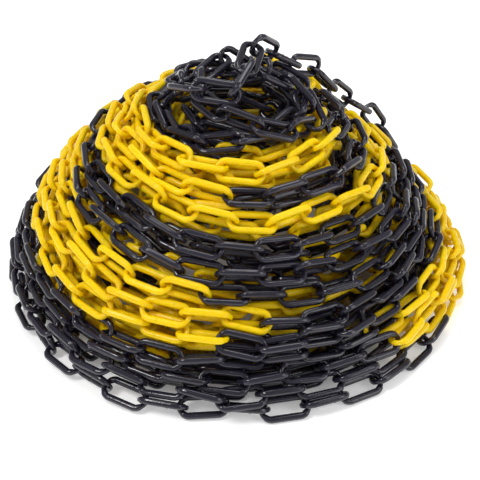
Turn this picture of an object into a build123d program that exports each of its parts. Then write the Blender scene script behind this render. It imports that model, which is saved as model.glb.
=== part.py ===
from build123d import *
import math
import os

# Plastic barrier chain, coiled and heaped on the floor, with both of its ends free.
# Millimetres. +Z up. The origin is on the floor under the middle of the heap.

# One link: an elongated ring with cut corners, thicker along its sides than over its ends.
# Its length runs along x and its width along y, with the ring's centre at the origin.
LINK_LENGTH = 52.0        # outside
LINK_WIDTH = 26.0         # outside
SIDE_BAR_DIAMETER = 7.2   # the two long bars
END_BAR_DIAMETER = 5.5    # the two end bars, which carry the neighbouring links
CORNER_CUT = 6.0          # how far each corner is cut back, on the bars' centre line

RUN_ON = 6.0              # extra length on each end of a bar, before it is mitred
MITRE_MARGIN = 1.0        # how far a mitre cut reaches past the bar's outline
CUTTER_HALF_HEIGHT = 6.0  # the mitring prism's reach above and below the ring's plane

SIDE_RADIUS = SIDE_BAR_DIAMETER / 2
END_RADIUS = END_BAR_DIAMETER / 2
END_BAR_X = LINK_LENGTH / 2 - END_RADIUS
SIDE_BAR_Y = LINK_WIDTH / 2 - SIDE_RADIUS
SIDE_BAR_TIP = END_BAR_X - CORNER_CUT        # half a side bar's length, on its centre line
END_BAR_TIP = SIDE_BAR_Y - CORNER_CUT        # half an end bar's length, on its centre line

# Joints of the bars' centre line, in order round the ring: point, bar radius there.
JOINTS = [
    ((SIDE_BAR_TIP, SIDE_BAR_Y), SIDE_RADIUS),
    ((END_BAR_X, END_BAR_TIP), END_RADIUS),
    ((END_BAR_X, -END_BAR_TIP), END_RADIUS),
    ((SIDE_BAR_TIP, -SIDE_BAR_Y), SIDE_RADIUS),
    ((-SIDE_BAR_TIP, -SIDE_BAR_Y), SIDE_RADIUS),
    ((-END_BAR_X, -END_BAR_TIP), END_RADIUS),
    ((-END_BAR_X, END_BAR_TIP), END_RADIUS),
    ((-SIDE_BAR_TIP, SIDE_BAR_Y), SIDE_RADIUS),
]

# The chain starts with the links of its floor end and finishes with those of its top end,
# each a piece of its own. The links between are grouped into runs of one colour.
FLOOR_END_LINKS = 7
TOP_END_LINKS = 9

# Each run's last link, counting the chain's first link as 0, and its colour.
RUNS = [
    (27, "black"), (45, "yellow"), (62, "black"), (90, "yellow"), (117, "black"),
    (150, "yellow"), (172, "black"), (194, "black"), (213, "yellow"), (232, "black"),
    (262, "yellow"), (281, "black"), (299, "yellow"), (320, "black"), (353, "yellow"),
    (372, "black"), (391, "black"), (423, "yellow"), (432, "black"), (458, "yellow"),
    (483, "black"), (515, "yellow"), (535, "black"), (570, "yellow"), (586, "black"),
    (601, "yellow"), (612, "black"), (631, "yellow"), (661, "black"), (677, "yellow"),
    (703, "black"), (722, "yellow"), (743, "black"), (763, "black"), (786, "yellow"),
    (811, "black"), (835, "yellow"), (849, "black"), (879, "yellow"), (893, "black"),
    (914, "yellow"), (931, "black"), (951, "yellow"), (988, "black"),
]

# Where each link lies, one link to a line, in order along the chain. Columns: centre x, y, z
# in mm, then its turn as a quaternion w, x, y, z in ten-thousandths.
LAY = """\
31.05 261.39 14.08 546 0 0 9985
-8.79 261.97 14.08 297 297 -7065 -7065
-48.00 254.82 14.08 1369 0 0 -9906
-85.26 240.64 14.08 1580 1580 -6892 -6892
-119.63 220.40 14.08 3012 0 0 -9535
-150.66 195.27 14.01 2569 2604 -6597 -6565
-177.84 165.98 13.86 4247 24 56 -9053
-201.29 133.75 13.50 3337 3310 -6236 -6247
-221.70 99.41 15.75 5201 -268 -143 -8536
-237.58 62.81 17.39 4098 4027 -5812 -5763
-248.10 24.08 16.41 6527 143 142 -7573
-249.63 -15.31 13.99 5107 5161 -4817 -4907
-244.82 -55.07 12.95 7668 -2 26 -6419
-234.40 -94.24 13.05 6017 5404 -3930 -4376
-220.54 -130.93 12.03 8555 144 -216 -5171
-199.41 -164.88 13.10 6159 6255 -3413 -3361
-174.29 -196.45 12.57 9261 775 -264 -3683
-143.01 -222.12 12.56 5484 7770 -2525 -1783
-108.71 -243.67 11.20 9530 1920 -301 -2325
-71.12 -256.06 10.83 4143 9031 -1028 -472
-32.14 -257.57 9.59 9730 2287 7 315
6.80 -260.19 9.72 3404 9392 -417 -151
46.19 -260.05 9.15 9522 2921 209 871
84.68 -249.75 9.74 3368 9266 1571 571
120.60 -233.14 8.90 9358 2686 703 2175
152.83 -210.95 9.30 2936 8887 3344 1105
181.44 -183.66 9.01 8710 2695 1214 3925
205.01 -152.16 10.51 2578 8366 4514 1726
223.82 -116.26 11.43 7466 3910 2497 4769
236.52 -80.37 11.22 299 7457 6648 327
245.30 -42.18 12.61 4591 6390 5012 3601
250.44 -3.12 12.40 7 7013 7129 -31
245.01 36.34 13.07 4159 4478 5800 5387
233.66 73.46 11.51 985 6042 7766 1487
217.26 109.01 12.88 3662 2947 5534 6876
192.49 140.92 11.76 1055 3866 9012 1651
164.80 169.17 10.85 3692 1703 3826 8296
135.70 194.98 10.96 423 2545 9553 1447
100.29 212.12 11.42 2147 1122 4492 8599
63.19 226.23 11.47 230 905 9821 1639
23.62 231.75 11.39 642 334 4601 8849
-16.30 230.66 11.23 121 1144 -9312 -3460
-54.55 218.01 9.65 1954 696 -3284 -9215
-90.93 200.76 9.61 728 2265 -9188 -3150
-122.82 177.76 9.08 3385 935 -2699 -8966
-149.95 148.82 9.80 1418 3852 -8576 -3098
-174.74 116.99 9.57 4476 1570 -2914 -8307
-195.15 82.66 10.21 1711 5038 -8067 -2573
-208.28 45.64 11.59 5437 2953 -3750 -6903
-218.97 7.38 11.32 1142 6107 -7717 -1358
-221.24 -31.83 11.44 6481 3403 -3168 -6032
-215.94 -71.16 10.25 1888 7509 -6087 -1732
-204.10 -107.90 9.16 7946 2546 -1682 -5249
-184.78 -142.72 9.69 2995 8412 -4238 -1521
-157.71 -171.77 9.15 8897 2700 -1065 -3523
-125.20 -194.24 9.76 3310 9065 -2463 -899
-90.00 -212.03 9.20 9315 2679 -644 -2375
-53.61 -227.23 9.73 3379 9329 -1171 -422
-13.97 -232.85 9.28 9496 3120 -89 -270
25.90 -231.35 9.68 3304 9404 774 240
63.16 -219.60 8.70 9486 2676 481 1617
99.15 -204.85 9.63 3017 9155 2496 920
130.92 -180.58 9.55 8814 3078 1182 3383
160.33 -153.90 9.18 2829 9023 3118 933
187.75 -127.54 8.18 8598 2071 1143 4525
204.46 -93.86 9.09 2419 7671 5666 1787
215.78 -57.93 9.11 7733 1637 1241 5999
221.79 -19.64 10.98 2976 6266 6506 3090
218.68 19.62 11.23 6227 1028 1203 7663
208.56 58.57 11.80 2903 5081 7041 4023
191.57 94.39 10.84 4950 812 1344 8546
169.24 127.22 11.40 1982 3809 8011 4169
141.60 155.98 10.61 3565 897 2150 9048
109.17 180.02 11.22 1187 2376 8625 4309
73.15 194.79 10.07 1618 388 1787 9697
34.58 199.00 10.82 72 156 9090 4165
-5.33 198.34 10.90 592 77 -2130 -9752
-44.91 190.33 11.34 599 1167 -8818 -4530
-81.22 174.41 10.59 2710 500 -1731 -9456
-112.78 150.75 12.10 1927 3127 -7918 -4880
-139.39 121.10 11.73 4331 380 -928 -8958
-163.11 88.48 12.34 2629 3992 -7335 -4832
-180.03 52.42 11.33 5870 1019 -1452 -7899
-188.24 12.90 12.28 3597 5558 -6292 -4072
-187.76 -26.85 10.71 7390 1626 -1320 -6403
-181.24 -66.15 10.82 3255 7110 -5668 -2595
-167.09 -102.17 10.49 8273 1394 -1151 -5320
-146.29 -136.65 11.75 4403 7794 -3881 -2192
-119.19 -164.30 10.76 9176 1100 -605 -3771
-86.71 -186.44 11.54 4598 8553 -2103 -1130
-50.16 -197.56 9.13 9559 2773 -326 -910
-11.26 -204.54 9.48 3244 9430 -705 -243
27.35 -203.53 9.21 9653 2566 -45 479
66.05 -194.11 10.60 3931 8986 1788 782
101.41 -174.97 9.30 9230 2575 955 2696
131.22 -150.00 8.86 2682 9032 3210 962
154.89 -120.75 8.48 8575 2310 1170 4445
173.76 -87.06 9.09 2514 7984 5219 1643
183.83 -49.74 8.46 7585 2042 1619 5973
190.09 -11.68 9.79 2180 6646 6743 2369
188.72 26.98 12.73 5378 4080 4459 5878
175.04 62.56 11.71 1658 3729 8899 2037
152.55 94.33 9.09 4220 1331 2698 8552
128.33 124.29 10.91 647 3666 8908 2605
96.27 148.77 12.15 2339 1460 5091 8153
60.33 166.91 11.63 709 1675 9365 2996
22.81 178.23 13.08 707 717 5512 8283
-14.21 175.89 15.14 43 -1723 9349 3102
-51.52 163.59 15.79 2196 -163 -4900 -8434
-87.05 148.21 22.64 1345 1660 -9174 -3356
-120.51 127.09 26.35 3295 998 -3479 -8720
-146.95 99.01 27.71 1758 4258 -8375 -2939
-166.83 66.05 28.62 4094 2735 -4216 -7615
-180.82 28.99 29.33 1548 6212 -7558 -1373
-185.35 -9.57 29.86 4918 4567 -4645 -5777
-182.90 -49.36 27.95 582 7943 -6015 -628
-168.07 -85.88 25.30 6855 4614 -2360 -5114
-149.80 -121.32 24.91 1529 8589 -4867 -450
-125.06 -152.07 26.84 7341 5616 -2185 -3130
-93.91 -176.81 27.23 1303 9517 -2779 -53
-57.24 -193.17 26.59 7732 6117 -509 -1594
-18.44 -202.70 24.08 7 -9979 647 51
19.60 -201.92 23.95 7864 6115 864 -108
58.33 -193.98 25.27 1033 9804 1503 748
93.31 -178.24 26.44 7390 6167 2485 1087
124.83 -155.67 22.33 307 9364 3483 291
147.75 -125.35 22.76 7656 4467 2956 3563
167.13 -90.65 22.45 722 8465 5225 727
178.42 -54.18 22.63 7121 3510 3400 5041
178.64 -16.13 20.77 588 6021 7946 515
171.84 22.88 18.04 5646 3192 4317 6269
165.57 61.89 20.65 26 -6460 -7476 -1542
147.06 94.71 23.99 3830 1608 3659 8328
120.74 121.44 25.04 30 3032 9435 1337
86.83 138.58 22.49 2269 1042 6412 7256
52.13 156.32 24.54 124 -2268 -9607 -1595
14.97 165.73 27.40 520 991 5700 8140
-21.28 176.56 28.40 102 1320 9760 1732
-59.63 175.81 26.86 440 627 -3861 -9193
-97.75 165.73 28.81 1203 1709 -9445 -2536
-131.17 147.82 26.69 1943 1947 -4061 -8715
-162.40 123.45 25.43 1379 3731 -8864 -2367
-186.01 91.88 27.38 4364 2529 -4646 -7278
-202.28 55.47 28.74 1585 5664 -7886 -1794
-212.50 17.74 29.06 5226 3571 -3753 -6772
-216.27 -22.15 27.52 1572 6919 -6883 -1508
-212.97 -59.37 25.88 7424 2708 -1747 -5874
-197.94 -95.81 25.23 4135 7553 -4619 -2125
-177.33 -130.48 26.81 8410 2367 -1317 -4683
-153.20 -162.43 26.97 4471 7964 -3622 -1860
-124.68 -190.00 26.53 9203 1167 -419 -3711
-91.97 -213.46 26.32 5586 7921 -1889 -1577
-55.06 -228.20 25.03 9858 1081 -238 -1262
-16.50 -233.44 26.98 6677 7435 -62 -354
23.84 -232.23 25.52 9974 136 76 699
62.42 -222.40 24.94 5942 7837 1573 896
98.31 -207.54 24.25 9853 452 -286 1624
130.73 -189.52 24.80 4363 8315 3271 1063
157.78 -161.03 24.59 8683 2137 390 4460
179.87 -129.41 24.70 3152 7807 5285 1088
194.22 -94.46 21.22 8117 1760 1240 5429
205.29 -56.10 20.80 3317 7079 5707 2514
210.94 -17.55 21.62 6797 1235 824 7183
207.56 21.44 23.10 2867 5602 7062 3244
195.74 59.24 22.50 5557 1259 1497 8081
179.25 95.25 22.45 2339 4316 7997 3456
155.58 126.07 22.34 3944 1227 1537 8976
126.96 153.60 21.66 2209 2538 8492 4069
94.10 175.87 21.24 2009 1111 1751 9574
57.32 190.61 25.50 476 1798 8805 4360
20.69 202.72 25.75 893 -201 1252 9879
-19.56 207.17 24.15 186 221 7536 6567
-60.12 207.73 24.56 294 -32 -909 -9954
-99.07 198.57 27.00 1551 1074 -7839 -5915
-135.44 181.60 27.44 2493 342 -98 -9678
-167.74 158.77 28.06 2407 2458 -7696 -5380
-196.86 132.17 30.03 4260 252 -287 -9039
-211.71 98.63 28.86 2587 5294 -7267 -3532
-223.30 61.44 29.65 5147 2523 -2970 -7637
-236.87 23.79 32.55 2729 4945 -7979 -2106
-243.61 -14.56 35.52 6647 1922 -1794 -6994
-241.80 -53.19 32.45 1768 7629 -5738 -2399
-234.73 -91.73 29.47 7593 2478 -2035 -5662
-218.83 -127.42 31.44 2589 8015 -5193 -1446
-198.95 -159.46 32.04 8666 1820 -1095 -4515
-173.63 -189.78 31.04 5264 7553 -3057 -2426
-142.90 -215.67 30.27 9592 667 -215 -2737
-108.72 -232.89 27.26 4383 8739 -1207 -1721
-71.36 -246.87 25.89 9625 2154 -919 -1367
-33.77 -259.73 27.18 3833 9138 -1003 -891
4.20 -262.31 25.91 9800 1895 -265 543
41.63 -253.42 25.61 3879 9102 1451 76
80.20 -242.40 22.80 9520 2577 632 1525
116.38 -225.85 22.76 3458 9122 2001 908
149.52 -203.79 23.15 8925 2762 904 3450
177.78 -174.96 23.08 3603 8355 3905 1403
202.08 -143.31 24.65 8377 2782 721 4644
220.77 -109.38 26.07 2981 7905 5164 1397
238.05 -74.03 26.94 7817 2395 903 5687
243.10 -36.40 26.82 3131 6139 6981 1942
238.24 2.68 24.20 5914 2332 2196 7400
233.95 42.28 25.66 2044 6441 7022 2240
222.67 78.46 25.26 3894 3454 5439 6582
204.56 114.00 25.21 1412 4932 8402 1757
181.12 144.80 24.56 3758 1691 3152 8549
154.05 172.63 24.66 1209 4006 8871 1950
123.92 198.82 25.82 1916 2162 4653 8367
88.72 215.55 27.47 827 1516 9735 1498
50.11 226.52 27.07 652 1094 5060 8531
10.74 229.73 30.49 240 353 -9835 -1755
-29.47 226.17 33.59 886 -310 -5427 -8347
-65.42 216.33 39.03 1698 1536 -9385 -2584
-99.93 201.50 44.85 2374 250 -2566 -9366
-132.66 181.25 47.87 1402 2245 -8143 -5167
-163.37 157.51 48.12 3804 256 -2116 -8999
-189.60 127.68 49.23 1877 4023 -7797 -4416
-212.06 94.03 47.53 4965 1111 -1741 -8431
-225.81 58.24 50.28 3757 4617 -6275 -5020
-234.07 19.81 50.52 6751 1240 -1513 -7113
-235.88 -18.73 50.02 2318 6565 -6619 -2778
-234.51 -56.94 47.11 7618 1703 -856 -6192
-220.88 -94.60 45.47 4080 7419 -4584 -2701
-202.50 -130.51 46.01 8377 2021 -1351 -4891
-180.13 -161.93 44.85 3365 8307 -3963 -1990
-153.65 -192.39 43.46 8865 2659 -1132 -3612
-123.18 -217.02 43.45 2872 9236 -2350 -964
-87.01 -233.16 40.71 8769 4348 -573 -1970
-49.03 -246.60 39.50 2255 9657 -1248 -312
-12.08 -253.83 38.43 9569 2835 -13 -638
26.16 -248.86 39.62 3313 9363 1050 504
64.88 -238.33 38.09 9448 3008 838 989
102.47 -225.02 38.20 3358 9242 1520 997
139.11 -209.03 40.25 8356 5006 1216 1909
169.75 -184.36 39.86 1958 8643 4569 763
193.79 -153.56 40.58 6379 6280 3184 3120
212.31 -120.44 40.00 477 8496 5209 671
227.58 -83.98 42.04 7251 4210 2752 4705
235.19 -47.40 40.95 2296 6861 6685 1721
234.34 -7.10 38.44 6291 2573 3078 6659
228.63 29.99 37.59 738 6421 7607 602
215.81 68.02 36.98 4328 3128 4786 6970
201.76 104.32 38.73 1374 5579 7973 1850
180.85 137.18 39.10 3549 1807 3271 8570
150.14 162.37 40.05 1015 2462 9278 2613
115.47 181.39 40.28 2309 1264 3436 9015
80.96 200.69 42.68 293 2020 9467 2490
42.43 209.10 41.84 516 198 4976 8657
2.02 209.62 43.38 356 365 -9526 -3000
-35.42 205.31 43.45 408 272 -2026 -9780
-71.55 192.65 44.43 1393 1882 -8873 -3974
-106.71 172.57 46.94 2672 913 -3985 -8726
-137.00 147.12 46.17 463 4018 -8782 -2554
-164.46 118.44 44.06 4013 1369 -3339 -8418
-187.88 86.39 46.80 1667 4557 -8467 -2182
-204.18 52.18 48.40 4939 3299 -4763 -6483
-209.40 14.81 48.56 418 6839 -7243 -770
-207.47 -25.54 47.82 5401 5246 -4686 -4621
-203.67 -64.52 45.78 283 -7390 6731 -113
-191.64 -102.07 45.60 5773 6054 -4014 -3730
-171.35 -134.65 45.53 240 -8959 4429 -264
-144.91 -164.93 44.79 6853 6192 -2342 -3035
-113.86 -189.09 41.68 604 9629 -2594 -443
-79.44 -203.97 35.17 6659 7241 -414 -1747
-42.15 -213.89 35.69 323 -9948 919 -309
-3.94 -214.83 38.40 8446 5347 -91 269
34.92 -216.72 38.72 1092 9936 -188 240
74.49 -210.68 39.65 7187 6797 987 1081
109.92 -195.59 38.29 997 9617 2525 390
141.71 -171.48 39.57 7954 4884 1681 3171
169.42 -144.21 39.70 485 8867 4587 308
187.51 -108.33 38.29 6108 5462 4283 3810
196.14 -70.89 36.45 1078 7499 6376 1395
204.18 -31.44 36.99 7040 3778 3288 5035
208.24 7.75 39.06 493 6752 7198 1532
199.33 45.78 38.94 4445 3848 6131 5277
182.86 80.78 36.71 247 5004 8587 1075
159.42 113.26 36.40 3979 1914 4921 7502
130.97 140.11 36.69 30 3169 9418 1121
97.87 160.49 39.81 1319 2602 6589 6934
63.64 178.89 41.98 300 2261 9538 1957
26.92 187.09 41.66 178 70 3233 9461
-11.15 181.24 43.85 590 1286 -9299 -3396
-48.25 167.79 45.14 2234 298 -2583 -9394
-82.03 147.69 45.47 1569 2590 -8277 -4725
-112.84 122.31 45.54 3692 816 -2630 -8876
-139.74 92.29 46.33 1716 4112 -8145 -3716
-163.11 61.06 44.60 4865 1440 -1904 -8405
-175.95 24.33 46.44 2880 5539 -7282 -2827
-182.98 -11.99 47.58 6615 985 -1121 -7349
-183.09 -50.81 48.89 3564 6638 -5751 -3186
-170.59 -87.43 46.18 8309 1344 -708 -5352
-147.00 -119.06 43.12 5130 7743 -2363 -2854
-121.59 -146.69 43.05 9246 633 -395 -3735
-89.05 -169.88 43.62 5400 8024 -2099 -1430
-53.65 -186.03 42.60 9937 230 355 -1037
-13.64 -190.84 41.64 6137 7882 -469 -11
24.60 -188.71 40.15 9906 166 812 1090
60.67 -174.16 32.50 5557 7886 2601 409
96.31 -156.60 29.32 9691 578 49 2398
126.42 -134.29 34.54 3492 8757 2004 2665
153.00 -108.66 36.58 8780 988 1382 4475
166.17 -72.49 36.31 2668 7559 5271 2820
176.15 -35.87 35.90 7628 1016 1807 6125
172.08 0.85 34.00 1666 5988 7480 2330
166.40 38.39 33.24 5847 2175 3279 7094
153.26 73.97 36.17 39 -5764 -8059 -1351
133.25 105.16 38.56 3493 1636 3679 8461
101.94 129.73 39.87 531 2452 9379 2397
68.09 147.46 39.86 1214 1075 4156 8950
29.64 154.10 41.95 170 267 9812 1905
-7.64 152.66 49.04 1519 -1714 -5172 -8247
-43.50 147.50 58.70 1249 1254 -9714 -1580
-78.03 132.15 63.08 2688 739 -4828 -8302
-110.44 110.15 64.39 946 3115 -9060 -2703
-139.01 82.58 63.40 3923 1915 -4091 -8013
-158.91 50.47 64.54 1074 4893 -8560 -1276
-172.34 15.64 66.03 4454 4269 -5927 -5178
-177.50 -21.80 68.64 418 7311 -6764 -789
-166.79 -58.10 64.54 6432 5472 -3324 -4200
-150.43 -92.66 64.66 2626 8157 -4833 -1794
-128.40 -124.30 61.27 8351 2918 -720 -4607
-101.81 -151.69 59.83 3079 9038 -2869 -774
-67.32 -168.02 57.17 9208 3046 218 -2426
-31.58 -179.56 56.62 3663 9281 -611 266
4.70 -177.41 54.36 9766 1823 1139 -72
43.71 -171.87 50.97 4852 8660 939 766
81.15 -160.31 47.34 9716 1608 1306 1143
112.12 -141.09 48.70 4821 7767 2711 3015
136.08 -110.29 49.66 8870 743 1136 4415
154.41 -77.50 49.55 3326 7555 4903 2797
163.12 -42.25 47.77 7745 -171 687 6286
163.29 -4.18 47.11 2666 6433 6115 3758
159.59 35.10 48.89 6275 966 1546 7570
147.01 70.04 51.12 1499 4959 7834 3435
126.18 99.43 51.90 3988 211 776 9135
94.93 122.19 52.59 1027 2953 8282 4652
60.81 142.79 55.04 2073 489 1487 9657
24.50 158.52 57.10 570 2193 8686 4406
-11.96 168.26 59.31 840 840 2338 9650
-50.04 172.59 65.07 518 141 -9114 -4080
-87.10 161.80 64.03 2218 1112 -4759 -8438
-121.41 145.40 64.57 614 2766 -9503 -1289
-146.79 116.81 65.01 3695 2614 -5116 -7304
-169.88 85.27 63.86 186 5109 -8582 -460
-185.10 48.70 64.16 4001 4251 -6290 -5133
-194.69 10.40 64.57 2 -6392 7685 288
-195.94 -27.67 64.61 5558 4634 -3934 -5671
-191.89 -66.13 65.35 695 7558 -6486 -574
-181.15 -104.33 64.17 6208 5526 -3364 -4428
-160.80 -137.75 62.85 76 -9148 4032 217
-132.17 -162.84 60.87 6580 6611 -1833 -3106
-100.04 -186.84 57.81 426 9616 -2710 -86
-66.17 -205.08 58.74 6954 6781 -1183 -2063
-29.16 -216.25 56.16 394 9980 -488 91
10.32 -218.57 55.82 7194 6945 125 -7
47.87 -211.01 54.05 1641 9677 1902 221
82.35 -192.49 49.28 6981 6566 2553 1281
113.86 -170.85 47.76 1999 8990 3862 529
142.31 -142.10 45.61 7874 4742 2189 3273
168.50 -113.22 48.71 1824 8780 4157 1517
184.27 -79.71 46.53 7648 3405 2909 4633
194.02 -41.97 46.96 1285 7069 6697 1879
191.91 -4.07 44.82 5184 4559 5171 5060
187.26 33.87 46.59 1511 5669 7805 2161
174.67 69.15 50.04 4476 2866 3972 7482
157.84 105.78 51.49 803 5274 8341 1407
134.49 136.19 51.99 2900 1701 3710 8656
101.29 158.83 56.75 89 2594 9204 2924
67.97 176.29 59.46 1334 719 3487 9249
28.91 187.18 60.95 287 1242 9357 3291
-10.60 194.74 60.19 676 -29 3374 9389
-50.61 193.47 61.01 562 694 -9377 -3359
-86.58 186.43 64.90 1398 -151 -2350 -9618
-122.51 170.93 66.36 788 2857 -8811 -3686
-154.84 146.90 66.93 3271 965 -4184 -8418
-182.86 118.57 68.15 962 4338 -8583 -2566
-204.02 84.54 66.79 4559 2641 -4112 -7438
-219.94 47.99 64.77 1199 5625 -7901 -2120
-226.54 10.77 65.86 6332 2437 -3206 -6610
-228.04 -27.20 65.44 2830 6731 -6326 -2581
-222.25 -65.98 65.68 7609 2745 -2294 -5413
-210.03 -103.39 66.01 3043 7788 -5029 -2192
-191.44 -138.39 65.61 8083 3138 -1815 -4640
-168.82 -170.14 63.87 4077 8119 -3694 -1953
-141.05 -196.06 59.39 8812 3449 -906 -3104
-109.47 -218.84 58.37 2099 9447 -2452 -576
-73.88 -235.53 56.20 8894 4314 -429 -1448
-34.28 -240.47 56.30 2908 9564 229 174
4.03 -236.27 55.37 8685 4844 1028 -213
44.00 -233.23 53.79 2238 9727 238 571
81.43 -223.29 53.40 9374 3071 996 1308
116.64 -207.21 51.60 2552 9175 2970 698
146.04 -183.75 50.06 8713 3665 1159 3052
175.19 -157.94 52.17 2271 8957 3646 1147
198.91 -126.55 53.14 7457 4487 2687 4128
213.04 -90.96 51.39 2829 7291 5787 2312
218.39 -51.38 49.95 7001 2553 2632 6126
225.42 -13.37 51.09 1370 7482 6175 2003
226.55 25.55 52.23 6210 2382 2929 6869
214.71 63.08 53.58 1347 5134 8011 2766
198.49 99.29 53.74 5298 1533 2888 7825
175.82 129.62 53.14 1318 3642 8316 3981
147.51 155.74 53.68 2779 485 2292 9316
116.73 175.33 55.28 85 2846 9274 2426
82.63 192.47 58.27 1309 801 3420 9271
47.08 205.48 63.15 624 -1453 -9439 -2899
8.90 208.41 67.98 211 -616 -3948 -9164
-29.92 203.96 75.84 1612 523 -9249 -3403
-65.42 191.22 83.25 1828 957 -4720 -8571
-100.81 176.74 81.90 417 2353 -9588 -1536
-131.66 156.31 82.85 2735 880 -3500 -8916
-156.06 131.57 86.50 2456 3219 -7873 -4650
-177.01 100.77 89.58 4954 50 -1512 -8554
-194.30 68.73 89.70 2925 4908 -6761 -4652
-207.35 32.35 87.90 6026 1417 -1168 -7767
-213.07 -7.14 85.54 3479 5763 -5980 -4351
-213.07 -46.78 84.12 7107 2140 -1735 -6473
-204.12 -85.89 83.36 4326 6895 -4801 -3270
-188.78 -122.30 82.42 8126 2238 -1074 -5274
-167.82 -155.22 80.07 3598 8168 -3915 -2240
-141.43 -183.34 78.19 8854 3266 -812 -3207
-106.83 -203.45 76.23 3285 9245 -1700 -920
-69.10 -217.74 74.87 9292 3236 -583 -1689
-32.54 -230.27 75.41 2335 9685 -852 -164
4.36 -238.17 71.22 9006 4192 688 -920
42.51 -234.11 70.42 1407 9859 827 381
80.74 -223.73 70.05 7191 6691 1698 796
114.19 -204.60 66.97 2079 9032 3740 325
141.08 -180.48 64.96 9103 2258 946 3339
165.61 -150.49 64.16 3113 8377 4291 1312
187.14 -116.85 60.71 8086 3132 2251 4444
204.75 -81.96 63.12 1407 8305 5021 1957
216.71 -44.98 65.31 6664 3700 3214 5618
214.61 -7.16 63.06 2072 5568 7701 2323
205.00 31.77 61.59 6102 2346 3009 6943
195.12 68.38 62.95 1523 4946 8184 2499
175.33 102.58 62.19 4444 2355 3863 7732
152.42 134.34 66.35 496 4387 8683 2262
125.37 162.41 69.95 3031 1640 3181 8832
95.38 185.04 74.43 196 -2556 -9497 -1798
58.54 196.07 75.95 144 282 4878 8724
19.44 195.26 78.36 628 445 -9811 -1778
-20.16 188.01 81.85 1221 433 -5811 -8034
-56.19 174.63 81.35 596 2047 -9453 -2467
-92.46 156.53 81.63 2257 1150 -4724 -8442
-124.09 134.49 82.62 1104 2732 -9208 -2555
-152.22 107.52 82.81 4242 1996 -4041 -7855
-169.01 73.59 83.69 947 6145 -7778 -924
-179.64 35.24 85.96 5096 2885 -4671 -6625
-189.22 -3.94 87.81 1474 6466 -7241 -1896
-186.19 -41.97 85.17 7181 2523 -1672 -6266
-176.73 -81.18 84.13 3140 7447 -5449 -2233
-160.59 -115.53 82.65 7465 4267 -1438 -4899
-134.97 -143.19 79.77 3574 8732 -2985 -1436
-104.00 -165.87 74.67 8461 4489 -746 -2774
-70.60 -187.20 73.07 2805 9224 -2531 -804
-35.14 -201.70 69.96 9058 3730 282 -1990
1.29 -205.57 66.20 4490 8935 37 -105
37.04 -199.80 64.03 9537 2716 984 837
75.00 -190.05 63.20 3737 9117 1397 985
107.96 -171.58 62.27 9009 1803 1121 3786
134.08 -145.00 61.56 2585 8792 3798 1263
160.02 -115.11 62.03 8376 2989 1447 4337
178.39 -83.24 61.58 1672 8253 5332 817
186.20 -47.69 61.62 6197 2750 2222 7007
186.36 -9.45 60.96 1370 6640 7314 735
177.66 28.74 60.13 3483 4879 5610 5709
162.11 65.49 64.88 44 -4914 -8684 -655
142.15 99.28 65.68 3885 2640 4755 7439
117.66 131.57 66.93 417 4165 8999 1224
86.62 150.76 68.14 606 1065 4303 8943
49.83 157.87 74.22 1099 -1098 -9276 -3397
11.55 156.90 77.54 17 781 -3512 -9330
-23.78 148.86 76.56 1220 899 -9473 -2823
-60.13 133.44 82.39 2688 426 -3763 -8856
-92.27 110.95 84.40 1455 3022 -8650 -3732
-122.11 83.98 85.78 3466 1592 -4119 -8276
-144.31 53.17 84.79 1905 4990 -7868 -3092
-159.52 16.55 86.22 5882 1670 -2939 -7346
-166.22 -21.63 88.53 2862 6332 -6677 -2669
-162.52 -58.54 86.59 7384 3410 -1879 -5506
-143.15 -90.37 82.14 2454 8594 -3951 -2123
-122.19 -121.85 77.87 7829 4277 -1512 -4257
-92.67 -147.96 75.67 2091 9383 -2607 -891
-58.67 -165.24 71.70 8922 3971 -26 -2152
-20.93 -172.45 70.37 1587 9861 -488 -15
16.12 -169.63 67.40 8970 4165 1172 903
53.86 -157.92 65.19 2268 9616 1471 486
89.21 -144.45 62.02 9012 3506 1738 1861
118.42 -118.95 60.40 2692 8567 4104 1584
138.45 -88.13 58.48 8430 1244 1515 5009
151.24 -53.28 57.28 2419 7410 5889 2135
153.11 -15.83 56.67 6921 1428 1780 6848
152.78 20.68 59.17 1080 7161 6485 2344
144.41 57.29 63.71 4902 2259 3167 7800
121.64 86.66 65.14 1579 3539 8489 3594
91.11 111.20 66.71 2520 1229 2892 9153
58.26 125.58 68.49 14 1428 9297 3396
26.16 132.03 79.03 539 -2017 -1694 -9632
-7.26 130.87 94.43 1437 -653 -8261 -5410
-41.81 124.70 98.96 1483 -510 -1254 -9796
-77.02 106.83 102.50 1764 2240 -7696 -5713
-108.33 82.80 103.03 3474 125 -1321 -9283
-131.85 51.90 104.49 3171 4153 -6939 -4954
-147.95 17.22 104.19 5687 1489 -1570 -7935
-150.83 -18.79 103.96 2981 6706 -6087 -3015
-143.18 -55.56 102.72 7047 4087 -2249 -5346
-128.81 -91.78 100.15 1343 8445 -5123 -798
-106.48 -121.70 99.89 7491 5185 -1584 -3805
-76.58 -144.09 93.39 2687 9345 -2012 -1182
-42.98 -157.56 88.43 9539 2414 435 -1731
-5.51 -159.41 86.08 4800 8721 948 -80
30.68 -153.59 80.32 9886 456 1222 755
66.72 -142.02 76.01 5601 7994 1818 1190
99.24 -125.55 73.93 9303 774 952 3456
122.16 -95.78 71.43 3323 8182 4346 1768
140.16 -62.04 69.00 7676 2045 1839 5790
145.74 -25.13 68.99 1790 6933 6702 1955
143.27 11.15 72.05 5938 2320 1258 7601
131.48 48.45 74.60 2525 4541 7980 3053
109.80 79.32 78.68 2936 3058 2514 8701
85.53 104.63 83.48 848 3224 9002 2803
54.50 126.52 87.59 2666 1710 2244 9216
25.80 146.05 92.91 42 -2711 -9456 -1796
-11.57 158.65 96.02 457 644 6053 7920
-47.63 159.21 98.04 99 1189 -9862 1146
-83.72 148.19 99.33 1664 1477 -7664 -6027
-115.85 126.23 100.35 198 3802 -9246 -127
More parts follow.
